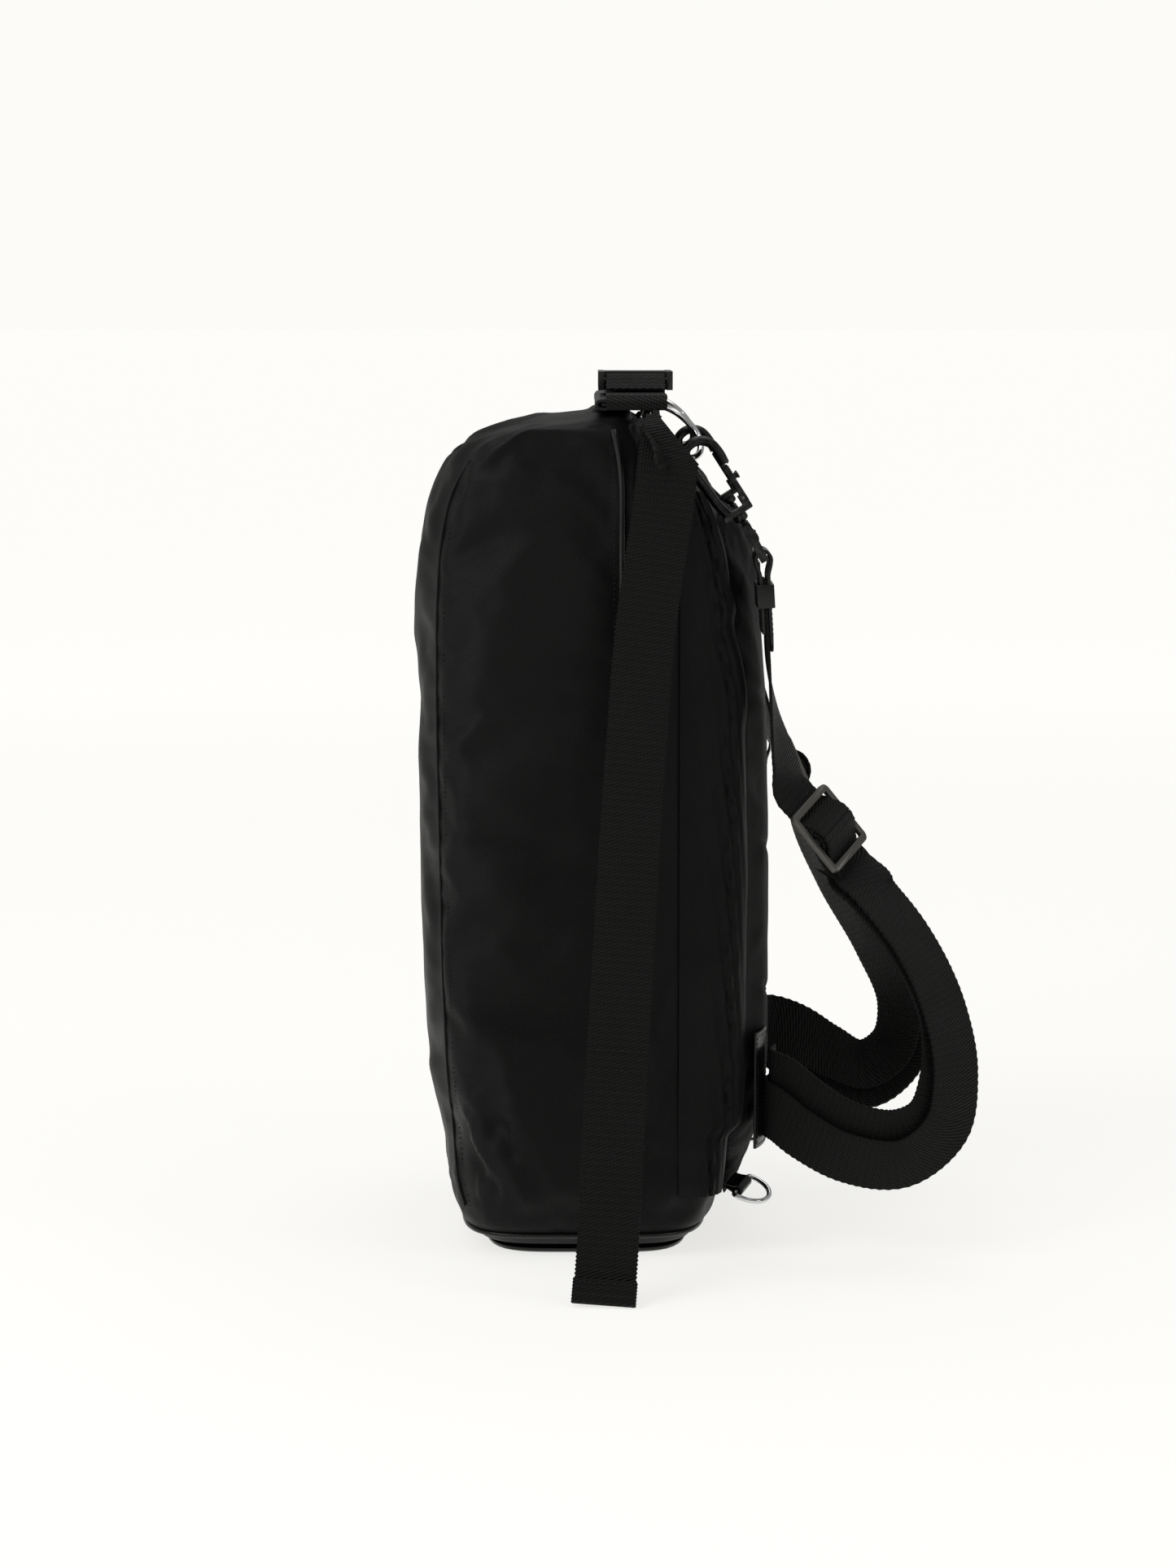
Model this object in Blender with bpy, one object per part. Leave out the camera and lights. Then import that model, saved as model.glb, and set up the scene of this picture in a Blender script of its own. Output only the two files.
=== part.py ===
"""Tall soft rope bag with a rolled top, clip-on shoulder straps and metal rings.  Metres, +Z up.

X runs from the front (-X) to the back where the shoulder straps are (+X), Y across the width.
"""
import bpy
import bmesh
from math import cos, sin, pi, radians, copysign
from mathutils import Vector, Matrix

# driving sizes
BODY_HEIGHT = 0.538          # floor to the base of the mouth neck
BODY_WIDTH = 0.280           # side to side
BODY_DEPTH = 0.194           # front to back, without the back pad
SHELL_X = -0.009             # middle of the depth
WALL = 0.003
PAD_THICK = 0.029            # back pad at its crown
WEBBING_WIDTH = 0.038
WEBBING_THICK = 0.0020
LEATHER_THICK = 0.0022
RING_STOCK = 0.0040          # round bar of the O-rings
PIPING_RADIUS = 0.0016
BASE_THICK = 0.0035
GAP = 0.0003

# sizes that follow
HALF_W = BODY_WIDTH / 2
HALF_D = BODY_DEPTH / 2
SHELL_FLOOR = BASE_THICK + GAP
MOUTH_TOP = BODY_HEIGHT + 0.005
RING_RADIUS = WEBBING_WIDTH / 2 + RING_STOCK / 2 + 0.0002
SLOT_WIDTH = WEBBING_WIDTH + 0.0024      # clear width in buckles, slider and bail
HARDWARE_WIDTH = SLOT_WIDTH + 0.0080
ROLL_LENGTH = BODY_WIDTH * 0.86
MOUTH_X = SHELL_X + 0.25 * HALF_D
BUCKLE_X = MOUTH_X + 0.0155
STRAP_Y = HALF_W - 0.040                 # distance of each shoulder strap from the middle
BACK_X = SHELL_X + HALF_D + PAD_THICK    # outermost face of the back pad
ROLL_HALF = 0.0150
ROLL_PITCH = 0.0026                      # one layer of the rolled hem to the next
ROLL_LAYER = 0.0018
ROLL_Z = MOUTH_TOP + GAP + ROLL_PITCH + ROLL_LAYER / 2
ROLL_TOP = ROLL_Z + ROLL_PITCH + ROLL_LAYER / 2
BAR_R = 0.0020                           # webbing bars of the buckle
BAR_Y = 0.0370
BUCKLE_END = 0.0410
BUCKLE_HALF_T = 0.0060
BUCKLE_Z = ROLL_TOP + 0.0008 + WEBBING_THICK + 0.0010 + BUCKLE_HALF_T
SLIDER_LENGTH = 0.046
GATE_PIVOT = 0.0370                      # gate's pivot along the hook, from the eye
TAB_GAP = WEBBING_THICK / 2 + GAP + LEATHER_THICK / 2    # tab's middle to the middle of each leather leg

# outer form of the shell: height, front, back and width as shares of the sizes above
PROFILE = [
    (0.000, -0.62, 0.78, 0.82), (0.020, -0.74, 0.86, 0.90), (0.060, -0.85, 0.93, 0.95),
    (0.120, -0.90, 0.97, 0.98), (0.200, -0.935, 1.00, 1.00), (0.300, -0.960, 1.00, 1.00),
    (0.500, -0.985, 1.00, 1.00), (0.700, -1.000, 1.00, 1.00), (0.800, -0.990, 0.98, 0.99),
    (0.862, -0.960, 0.92, 0.97), (0.918, -0.880, 0.78, 0.95), (0.950, -0.780, 0.64, 0.93),
    (0.976, -0.620, 0.52, 0.92), (0.990, -0.380, 0.47, 0.90), (1.000, 0.125, 0.375, 0.84),
]

MATERIALS = {
    "twill": ((0.020, 0.020, 0.022), 0.0, 0.85),
    "webbing": ((0.016, 0.016, 0.018), 0.0, 0.80),
    "leather": ((0.012, 0.011, 0.011), 0.0, 0.40),
    "pad": ((0.024, 0.024, 0.026), 0.0, 0.85),
    "chrome": ((0.80, 0.80, 0.82), 1.0, 0.12),
    "black_metal": ((0.020, 0.020, 0.022), 0.8, 0.35),
    "grey_metal": ((0.110, 0.105, 0.095), 0.9, 0.38),
    "black_plastic": ((0.018, 0.018, 0.020), 0.0, 0.42),
    "board": ((0.10, 0.10, 0.10), 0.0, 0.60),
    "label": ((0.62, 0.62, 0.60), 0.0, 0.80),
}


def material(name):
    mat = bpy.data.materials.get(name)
    if mat is None:
        colour, metallic, rough = MATERIALS[name]
        mat = bpy.data.materials.new(name)
        mat.use_nodes = True
        bsdf = mat.node_tree.nodes["Principled BSDF"]
        bsdf.inputs["Base Color"].default_value = (*colour, 1.0)
        bsdf.inputs["Metallic"].default_value = metallic
        bsdf.inputs["Roughness"].default_value = rough
    return mat


def clear_scene():
    for obj in list(bpy.data.objects):
        bpy.data.objects.remove(obj, do_unlink=True)


def finish(name, bm, mat, pivot=None, smooth=True):
    """Turn a bmesh into a named object with its origin on the pivot."""
    bmesh.ops.recalc_face_normals(bm, faces=bm.faces)
    pivot = Vector(pivot) if pivot is not None else Vector((0, 0, 0))
    bmesh.ops.translate(bm, verts=bm.verts, vec=-pivot)
    mesh = bpy.data.meshes.new(name)
    bm.to_mesh(mesh)
    bm.free()
    obj = bpy.data.objects.new(name, mesh)
    obj.location = pivot
    bpy.context.scene.collection.objects.link(obj)
    mesh.materials.append(material(mat))
    if smooth:
        mesh.shade_smooth()
        mesh.set_sharp_from_angle(angle=radians(35))
    return obj


def loft(bm, rings, closed=False):
    """Skin a list of point rings; both ends are capped unless closed."""
    rows = [[bm.verts.new(p) for p in ring] for ring in rings]
    pairs = list(zip(rows, rows[1:]))
    if closed:
        pairs.append((rows[-1], rows[0]))
    count = len(rows[0])
    for a, b in pairs:
        for i in range(count):
            j = (i + 1) % count
            bm.faces.new((a[i], a[j], b[j], b[i]))
    if not closed:
        bm.faces.new(rows[0][::-1])
        bm.faces.new(rows[-1])


def spans_of(points, closed=False):
    ahead = points[1:] + points[:1] if closed else points[1:]
    return [(Vector(b) - Vector(a)).length for a, b in zip(points, ahead)]


def spline(points, steps, closed=False, spans=None):
    """Smooth samples through the points, ends included; spans are the lengths between them."""
    pts = [Vector(p) for p in points]
    n = len(pts)
    spans = spans or spans_of(pts, closed)
    slopes = []
    for i in range(n):
        if closed or 0 < i < n - 1:
            h0, h1 = spans[i - 1], spans[i]
            before = (pts[i] - pts[i - 1]) / h0
            after = (pts[(i + 1) % n] - pts[i]) / h1
            slopes.append((before * h1 + after * h0) / (h0 + h1))
        elif i == 0:
            slopes.append((pts[1] - pts[0]) / spans[0])
        else:
            slopes.append((pts[-1] - pts[-2]) / spans[-1])
    out = []
    for i in range(len(spans)):
        a, b, h = pts[i], pts[(i + 1) % n], spans[i]
        for k in range(steps):
            t = k / steps
            out.append(a * (2 * t ** 3 - 3 * t * t + 1) + slopes[i] * h * (t ** 3 - 2 * t * t + t)
                       + b * (3 * t * t - 2 * t ** 3) + slopes[(i + 1) % n] * h * (t ** 3 - t * t))
    if not closed:
        out.append(pts[-1])
    return out


def tangents(path, closed=False):
    n = len(path)
    out = []
    for i in range(n):
        a = path[(i - 1) % n] if closed or i > 0 else path[0]
        b = path[(i + 1) % n] if closed or i < n - 1 else path[-1]
        out.append((b - a).normalized())
    return out


def ribbon_rings(points, wides, width, thick, steps, closed=False):
    path = spline(points, steps, closed)
    across = spline(wides, steps, closed, spans_of(points, closed))
    rings = []
    for p, t, w in zip(path, tangents(path, closed), across):
        w = (w - t * w.dot(t)).normalized() * (width / 2)
        n = t.cross(w).normalized() * (thick / 2)
        rings.append([p + w + n, p - w + n, p - w - n, p + w - n])
    return rings


def ribbon(name, points, wides, width, thick, mat, steps=3, closed=False):
    """Flat strap along the points; wides gives its width direction at each one."""
    if not isinstance(wides, list):
        wides = [wides] * len(points)
    bm = bmesh.new()
    loft(bm, ribbon_rings(points, wides, width, thick, steps, closed), closed)
    return finish(name, bm, mat)


def tube(name, points, radius, mat, steps=2, sides=8, closed=False, pivot=None):
    path = spline(points, steps, closed)
    tans = tangents(path, closed)
    side = tans[0].orthogonal().normalized()
    rings = []
    for p, t in zip(path, tans):
        side = (side - t * side.dot(t)).normalized()
        up = t.cross(side)
        rings.append([p + (side * cos(a) + up * sin(a)) * radius
                      for a in (2 * pi * k / sides for k in range(sides))])
    bm = bmesh.new()
    loft(bm, rings, closed)
    return finish(name, bm, mat, pivot)


def box(bm, centre, size, frame=None):
    """Box of the given size about the centre, in a local frame (columns are its axes)."""
    made = bmesh.ops.create_cube(bm, size=1.0)["verts"]
    bmesh.ops.scale(bm, vec=size, verts=made)
    bmesh.ops.translate(bm, vec=centre, verts=made)
    if frame is not None:
        bmesh.ops.transform(bm, matrix=frame, verts=made)
    return made


def cylinder(bm, start, end, radius, sides=16, frame=None):
    start, end = Vector(start), Vector(end)
    axis = end - start
    made = bmesh.ops.create_cone(bm, cap_ends=True, segments=sides, radius1=radius, radius2=radius,
                                 depth=axis.length)["verts"]
    turn = axis.to_track_quat("Z", "Y").to_matrix().to_4x4()
    bmesh.ops.transform(bm, matrix=Matrix.Translation((start + end) / 2) @ turn, verts=made)
    if frame is not None:
        bmesh.ops.transform(bm, matrix=frame, verts=made)
    return made


def cut_or_add(obj, operation, build):
    """Boolean the object with the solid that build(bm) makes in world space."""
    bm = bmesh.new()
    build(bm)
    bmesh.ops.recalc_face_normals(bm, faces=bm.faces)
    mesh = bpy.data.meshes.new("cutter")
    bm.to_mesh(mesh)
    bm.free()
    cutter = bpy.data.objects.new("cutter", mesh)
    bpy.context.scene.collection.objects.link(cutter)
    mod = obj.modifiers.new("bool", "BOOLEAN")
    mod.operation = operation
    mod.solver = "EXACT"
    mod.object = cutter
    bpy.context.view_layer.update()
    graph = bpy.context.evaluated_depsgraph_get()
    result = bpy.data.meshes.new_from_object(obj.evaluated_get(graph))
    obj.modifiers.clear()
    mats = list(obj.data.materials)
    obj.data = result
    obj.data.materials.clear()
    for mat in mats[:1]:
        obj.data.materials.append(mat)
    for poly in obj.data.polygons:
        poly.material_index = 0
    bpy.data.objects.remove(cutter, do_unlink=True)
    obj.data.set_sharp_from_angle(angle=radians(35))
    return obj


def frame_at(origin, x_axis, y_axis, z_axis):
    return Matrix.Translation(origin) @ Matrix((x_axis, y_axis, z_axis)).transposed().to_4x4()


# body

def lerp_profile(share):
    rows = PROFILE
    for a, b in zip(rows, rows[1:]):
        if share <= b[0]:
            t = max(0.0, (share - a[0]) / (b[0] - a[0]))
            return [a[k] + (b[k] - a[k]) * t for k in (1, 2, 3)]
    return list(rows[-1][1:])


def shell_height(share):
    return SHELL_FLOOR + share * (BODY_HEIGHT - SHELL_FLOOR)


def shell_limits(z):
    """Front, back and half width of the shell's outside at a height."""
    share = (z - SHELL_FLOOR) / (BODY_HEIGHT - SHELL_FLOOR)
    front, back, width = lerp_profile(min(max(share, 0.0), 1.0))
    return SHELL_X + front * HALF_D, SHELL_X + back * HALF_D, width * HALF_W


def section(front, back, half, z, sides=40, power=5.0):
    """Rounded rectangle ring at a height."""
    mid, reach = (front + back) / 2, (back - front) / 2
    ring = []
    for k in range(sides):
        a = 2 * pi * (k + 0.5) / sides
        ring.append(Vector((mid + reach * copysign(abs(cos(a)) ** (2 / power), cos(a)),
                            half * copysign(abs(sin(a)) ** (2 / power), sin(a)), z)))
    return ring


def side_reach(x, z, power=5.0):
    """Half width of the shell at a point of its side."""
    front, back, half = shell_limits(z)
    u = min(abs((x - (front + back) / 2) / ((back - front) / 2)), 0.999)
    return half * (1 - u ** power) ** (1 / power)


def main_shell():
    outer, inner = [], []
    for share, *_ in PROFILE:
        z = shell_height(share)
        front, back, half = shell_limits(z)
        outer.append(section(front, back, half, z))
        if share > 0.0:
            drop = WALL if share > 0.9 else 0.0
            inner.append(section(front + WALL, back - WALL, half - WALL, z - drop))
    front, back, half = shell_limits(BODY_HEIGHT)
    outer.append(section(front, back, half, MOUTH_TOP))
    inner.append(section(front + WALL, back - WALL, half - WALL, MOUTH_TOP))
    front, back, half = shell_limits(SHELL_FLOOR)
    inner.insert(0, section(front + WALL, back - WALL, half - WALL, SHELL_FLOOR + WALL))
    bm = bmesh.new()
    loft(bm, outer + inner[::-1])
    return finish("main_shell", bm, "twill")


def base_panel():
    front, back, half = shell_limits(SHELL_FLOOR)
    bm = bmesh.new()
    loft(bm, [section(front + 0.002, back - 0.002, half - 0.002, 0.0),
              section(front, back, half, BASE_THICK * 0.4),
              section(front, back, half, BASE_THICK)])
    return finish("base_panel", bm, "leather")


def base_stiffener():
    z = SHELL_FLOOR + WALL + GAP
    front, back, half = shell_limits(SHELL_FLOOR)
    inset = WALL + 0.003
    bm = bmesh.new()
    loft(bm, [section(front + inset, back - inset, half - inset, h) for h in (z, z + 0.003)])
    return finish("base_stiffener", bm, "board")


def base_piping():
    z = SHELL_FLOOR + 0.020 * BODY_HEIGHT
    front, back, half = shell_limits(z)
    out = PIPING_RADIUS * 1.35 + 0.0007
    ring = section(front - out, back + out, half + out, z, sides=48)
    return tube("base_piping", ring, PIPING_RADIUS, "leather", steps=1, sides=6, closed=True)


def side_piping(side, name):
    x = MOUTH_X + 0.006
    out = PIPING_RADIUS + 0.0006
    points = []
    for k in range(20):
        z = BODY_HEIGHT * (0.062 + 0.908 * k / 19)
        points.append((x, side * (side_reach(x, z) + out * (1.0 if z > 0.1 else 1.25)), z))
    return tube(name, points, PIPING_RADIUS, "leather", steps=1, sides=6)


def back_pad():
    rows = [(0.020, 0.06, 0.34), (0.028, 0.28, 0.42), (0.040, 0.52, 0.47), (0.052, 0.68, 0.52), (0.064, 0.80, 0.68),
            (0.084, 0.93, 0.82), (0.125, 1.00, 0.86), (0.250, 1.00, 0.87), (0.350, 0.93, 0.86), (0.415, 0.76, 0.83),
            (0.434, 0.70, 0.80), (0.450, 0.62, 0.74), (0.464, 0.54, 0.66), (0.476, 0.44, 0.56)]
    rings = []
    for z0, thick, width in rows:
        z = z0 / 0.538 * BODY_HEIGHT
        inner = shell_limits(z)[1] + 0.0016 if z0 > 0.43 else SHELL_X + HALF_D + 0.0008
        out = SHELL_X + HALF_D + 0.0008 + PAD_THICK * (thick if z0 < 0.43 else 1.9 * thick - 0.63) - inner
        half = HALF_W * width
        ring = []
        for k in range(15):
            a = pi * k / 14
            crown = abs(sin(a)) ** 0.62
            ring.append(Vector((inner + out * crown, -half * copysign(abs(cos(a)) ** 0.8, cos(a)), z)))
        ring += [Vector((inner - 0.0001, half * f, z)) for f in (0.6, 0.0, -0.6)]
        rings.append(ring)
    bm = bmesh.new()
    loft(bm, rings)
    return finish("back_pad", bm, "pad")


def closure_roll():
    """Flattened roll of the hem, a spiral open at both ends."""
    p = ROLL_PITCH
    u = ROLL_HALF - p - ROLL_LAYER / 2
    inner_bend = [(u - p / 2 + p / 2 * sin(a), p / 2 - p / 2 * cos(a)) for a in (pi * k / 4 for k in range(5))]
    outer_bend = [(-u - p * sin(a), p * cos(a)) for a in (pi * k / 4 for k in range(5))]
    spiral = [(-u + 0.0010, 0), (-u / 2, 0), (u / 2, 0)] + inner_bend + [(u / 2, p), (-u / 2, p)]
    spiral += outer_bend + [(-u / 2, -p), (u / 2, -p), (u + 0.0010, -p)]
    points = [(MOUTH_X + x, 0, ROLL_Z + z) for x, z in spiral]
    return ribbon("closure_roll", points, Vector((0, 1, 0)), ROLL_LENGTH, ROLL_LAYER, "twill", steps=2)


# closure straps and side-release buckle

def closure_strap(side, name):
    """Webbing sewn over the end of the roll, along it and round the buckle's bar."""
    run = ROLL_TOP + 0.0008 + WEBBING_THICK / 2
    end_y = ROLL_LENGTH / 2
    x = BUCKLE_X
    loop = BAR_R + 0.0008 + WEBBING_THICK / 2
    rows = [(end_y + 0.0050, run - 0.0085), (end_y + 0.0047, run - 0.0045), (end_y + 0.0026, run - 0.0008),
            (end_y - 0.0060, run),
            (end_y - 0.0300, run), (BAR_Y + 0.0140, run), (BAR_Y + 0.0050, run + 0.0006)]
    for a in (0, 50, 95, 140, 185):
        rows.append((BAR_Y - loop * sin(radians(a)), BUCKLE_Z - loop * cos(radians(a))))
    rows += [(BAR_Y + 0.0045, BUCKLE_Z + 0.0026), (BAR_Y + 0.0100, BUCKLE_Z - 0.0010),
             (BAR_Y + 0.0180, run + WEBBING_THICK + 0.0008)]
    points = [(x, side * y, h) for y, h in rows]
    return ribbon(name, points, Vector((1, 0, 0)), WEBBING_WIDTH, WEBBING_THICK, "webbing", steps=3)


def buckle_bar(bm, y):
    half = HARDWARE_WIDTH / 2 - 0.001
    cylinder(bm, (BUCKLE_X - half, y, BUCKLE_Z), (BUCKLE_X + half, y, BUCKLE_Z), BAR_R, 12)


def buckle_female():
    """Socket half: pocket open towards the other half, side windows for its wings, bar at the outer end."""
    x, z = BUCKLE_X, BUCKLE_Z
    bm = bmesh.new()
    box(bm, (x, -(BUCKLE_END + 0.0005) / 2, z), (HARDWARE_WIDTH, BUCKLE_END - 0.0005, 2 * BUCKLE_HALF_T))
    obj = finish("buckle_female", bm, "black_plastic")

    def pocket(b):
        box(b, (x, -0.0130, z), (HARDWARE_WIDTH - 0.0080, 0.0280, 2 * BUCKLE_HALF_T - 0.0044))

    def windows(b):
        box(b, (x, -0.0175, z), (HARDWARE_WIDTH + 0.01, 0.0140, 2 * BUCKLE_HALF_T - 0.0048))

    def slot(b):
        box(b, (x, -0.0300 - 0.0100, z), (SLOT_WIDTH, 0.0200, 0.04))

    for build in (pocket, windows, slot):
        cut_or_add(obj, "DIFFERENCE", build)
    return cut_or_add(obj, "UNION", lambda b: buckle_bar(b, -BAR_Y))


def buckle_male():
    """Plug half: centre guide and two sprung arms, held in as when they are squeezed."""
    x, z = BUCKLE_X, BUCKLE_Z
    inner = HARDWARE_WIDTH - 0.0080
    thick = 2 * BUCKLE_HALF_T - 0.0056
    bm = bmesh.new()
    box(bm, (x, (BUCKLE_END + 0.0005) / 2, z), (HARDWARE_WIDTH, BUCKLE_END - 0.0005, 2 * BUCKLE_HALF_T - 0.001))
    obj = finish("buckle_male", bm, "black_plastic", (x, 0.0, z))

    def slot(b):
        box(b, (x, 0.0300 + 0.0100, z), (SLOT_WIDTH, 0.0200, 0.04))

    def hollow(b):
        box(b, (x, 0.0150, z), (inner - 0.0140, 0.0180, 0.04))

    def guide(b):
        box(b, (x, -0.0060, z), (0.0090, 0.0250, thick))

    def arms(b):
        for s in (-1, 1):
            box(b, (x + s * (inner / 2 - 0.0037), -0.0110, z), (0.0055, 0.0270, thick))

    cut_or_add(obj, "DIFFERENCE", slot)
    cut_or_add(obj, "DIFFERENCE", hollow)
    for build in (guide, arms):
        cut_or_add(obj, "UNION", build)
    return cut_or_add(obj, "UNION", lambda b: buckle_bar(b, BAR_Y))


# rings, hooks and leather tabs at the shoulders

def shoulder(side):
    """Chain of points and directions from the ring's loop down to the leather tab."""
    u = Vector((0.745, 0, -0.667)).normalized()
    v = Vector((0.3335, -side * 0.8660, 0.3725)).normalized()
    loop_point = Vector((BUCKLE_X + 0.0078, side * (STRAP_Y + 0.004), BODY_HEIGHT + 0.0055))
    centre = loop_point + u * RING_RADIUS
    eye = centre + u * RING_RADIUS
    axis = Vector((0.540, 0, -0.842)).normalized()
    out = Vector((0.842, 0, 0.540)).normalized()
    hook_frame = frame_at(eye + axis * 0.0012 + out * 0.0010, axis, out, axis.cross(out))
    swivel = hook_frame @ Vector((0.0540, 0, 0))
    bail_dir = Vector((0.47, 0, -0.883)).normalized()
    bail_out = Vector((0.883, 0, 0.47)).normalized()
    bar = swivel + bail_dir * 0.0215
    down = Vector((0.060, 0, -0.998)).normalized()
    tab_out = Vector((0.998, 0, 0.060)).normalized()
    return dict(u=u, v=v, loop=loop_point, centre=centre, eye=eye, axis=axis, out=out, hook=hook_frame,
                swivel=swivel, bail_dir=bail_dir, bail_out=bail_out, bar=bar, down=down, tab_out=tab_out)


def o_ring(side, name):
    s = shoulder(side)
    ring = [s["centre"] + (s["u"] * cos(a) + s["v"] * sin(a)) * RING_RADIUS
            for a in (2 * pi * k / 32 for k in range(32))]
    return tube(name, ring, RING_STOCK / 2, "chrome", steps=1, sides=10, closed=True, pivot=s["loop"])


def ring_loop(side, name):
    """Webbing bridge sewn to the shell's top with the ring under it."""
    s = shoulder(side)
    v = s["v"]
    level = Vector((1, 0, 0))
    level = (level - v * v.dot(level)).normalized()
    up = level.cross(v)
    if up.z < 0:
        up = -up
    c = s["loop"] + s["u"] * 0.0004
    r = RING_STOCK / 2 + 0.0011 + 0.0007
    rows = [(-0.0096, -0.0054), (-0.0066, -0.0049), (-0.0048, -0.0026), (-r * 1.02, 0.0), (-r * 0.72, r * 0.72),
            (0.0, r), (r * 0.72, r * 0.72), (r * 1.02, 0.0), (0.0050, -0.0060), (0.0072, -0.0105), (0.0102, -0.0128)]
    points = [c + level * a + up * b for a, b in rows]
    return ribbon(name, points, v, WEBBING_WIDTH * 0.30, 0.0014, "webbing", steps=2)


def hook_body(side, name):
    s = shoulder(side)
    f = s["hook"]
    line = [(0.0125, 0.0098), (0.0050, 0.0104), (-0.0040, 0.0085), (-0.0092, 0.0015), (-0.0080, -0.0062),
            (-0.0010, -0.0100), (0.0100, -0.0098), (0.0220, -0.0088), (0.0330, -0.0080), (0.0420, -0.0060)]
    points = [f @ Vector((a, b, 0)) for a, b in line]
    bm = bmesh.new()
    loft(bm, ribbon_rings(points, [Vector((0, 1, 0))] * len(points), 0.0080, 0.0052, 3))
    obj = finish(name, bm, "black_metal", s["swivel"])

    def collar(b):
        box(b, (0.0430, 0, 0), (0.0040, 0.0210, 0.0110), f)

    def barrel(b):
        cylinder(b, (0.0440, 0, 0), (0.0500, 0, 0), 0.0045, 16, f)

    def post(b):
        cylinder(b, (0.0480, 0, 0), (0.0595, 0, 0), 0.0020, 12, f)

    def head(b):
        cylinder(b, (0.0581, 0, 0), (0.0601, 0, 0), 0.0036, 12, f)

    def lugs(b):
        for w in (-1, 1):
            box(b, (GATE_PIVOT + 0.0020, 0.0078, w * 0.0042), (0.0090, 0.0054, 0.0020), f)

    def bore(b):
        cylinder(b, (GATE_PIVOT, 0.0080, -0.01), (GATE_PIVOT, 0.0080, 0.01), 0.0014, 12, f)

    for build in (collar, barrel, post, head, lugs):
        cut_or_add(obj, "UNION", build)
    return cut_or_add(obj, "DIFFERENCE", bore)


def hook_gate(side, name):
    s = shoulder(side)
    f = s["hook"]
    bm = bmesh.new()
    start, end = 0.0134, GATE_PIVOT + 0.0036
    box(bm, ((start + end) / 2, 0.0087, 0), (end - start, 0.0040, 0.0056), f)
    obj = finish(name, bm, "black_metal", f @ Vector((GATE_PIVOT, 0.0080, 0)))

    def stud(b):
        cylinder(b, (0.0225, 0.0100, 0), (0.0225, 0.0135, 0), 0.0024, 12, f)

    def bore(b):
        cylinder(b, (GATE_PIVOT, 0.0080, -0.01), (GATE_PIVOT, 0.0080, 0.01), 0.0014, 12, f)

    cut_or_add(obj, "UNION", stud)
    return cut_or_add(obj, "DIFFERENCE", bore)


def gate_rivet(side, name):
    s = shoulder(side)
    f = s["hook"]
    bm = bmesh.new()
    cylinder(bm, (GATE_PIVOT, 0.0080, -0.0056), (GATE_PIVOT, 0.0080, 0.0056), 0.0011, 12, f)
    return finish(name, bm, "grey_metal")


def hook_bail(side, name):
    """Rectangular loop that turns on the hook's post and carries the leather tab."""
    s = shoulder(side)
    axis, out = s["axis"], s["out"]
    f = frame_at(s["swivel"], s["bail_dir"], s["bail_out"], s["bail_dir"].cross(s["bail_out"]))
    half_w = HARDWARE_WIDTH / 2 - 0.0012
    bm = bmesh.new()
    box(bm, (0.0106, 0, 0), (0.0256, 0.0052, 2 * half_w), f)
    obj = finish(name, bm, "black_metal", s["bar"])

    def window(b):
        box(b, (0.0107, 0, 0), (0.0178, 0.04, SLOT_WIDTH), f)

    def bore(b):
        cylinder(b, s["swivel"] - axis * 0.008, s["swivel"] + axis * 0.0025, 0.0025, 16)

    cut_or_add(obj, "DIFFERENCE", window)
    cut_or_add(obj, "DIFFERENCE", bore)
    return obj


def tab_frame(side):
    s = shoulder(side)
    return s["bar"], s["down"], s["tab_out"]


def leather_tab(side, name):
    """Leather folded over the bail's bar, both legs sewn to the webbing between them."""
    o, down, out = tab_frame(side)
    r = 0.0026 + 0.0005 + LEATHER_THICK / 2 + 0.0006
    line = [(0.0600, TAB_GAP), (0.0400, TAB_GAP), (0.0200, TAB_GAP), (0.0100, TAB_GAP + 0.0004),
            (0.0045, r * 0.90), (0.0000, r), (-0.0032, r * 0.62), (-r, 0.0), (-0.0032, -r * 0.62),
            (0.0000, -r), (0.0045, -r * 0.90), (0.0100, -TAB_GAP - 0.0004), (0.0200, -TAB_GAP), (0.0480, -TAB_GAP)]
    points = [o + down * a + out * b for a, b in line]
    return ribbon(name, points, Vector((0, 1, 0)), WEBBING_WIDTH, LEATHER_THICK, "leather", steps=2)


def keeper(side, name):
    """Leather band round the tab."""
    o, down, out = tab_frame(side)
    centre = o + down * 0.0240
    inner_t = TAB_GAP + LEATHER_THICK / 2 + 0.0005
    inner_w = WEBBING_WIDTH / 2 + 0.0005
    thick = 0.0016
    f = frame_at(centre, down, out, down.cross(out))
    bm = bmesh.new()
    box(bm, (0, 0, 0), (0.0150, 2 * (inner_t + thick), 2 * (inner_w + thick)), f)
    obj = finish(name, bm, "leather", centre)

    def hole(b):
        box(b, (0, 0, 0), (0.04, 2 * inner_t, 2 * inner_w), f)

    return cut_or_add(obj, "DIFFERENCE", hole)


# shoulder straps

def strap_z(z):
    return z / 0.538 * BODY_HEIGHT


def slider_frame(side):
    """Origin, travel, width and outward directions of the slider."""
    bar_x = shoulder(side)["bar"].x
    if side < 0:
        origin = Vector((max(BACK_X + 0.0370, bar_x + 0.0402), side * (STRAP_Y + 0.012), strap_z(0.277)))
        travel = Vector((0.63, 0, -0.777)).normalized()
        wide = Vector((0.468, 0.80, 0.378))
    else:
        origin = Vector((max(BACK_X + 0.0240, bar_x + 0.0272), side * (STRAP_Y + 0.002), strap_z(0.292)))
        travel = Vector((0.40, 0, -0.917)).normalized()
        wide = Vector((0.20, -0.97, 0.09))
    wide = (wide - travel * wide.dot(travel)).normalized()
    normal = travel.cross(wide).normalized()
    if normal.x < 0:
        normal = -normal
    return origin, travel, wide, normal


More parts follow.
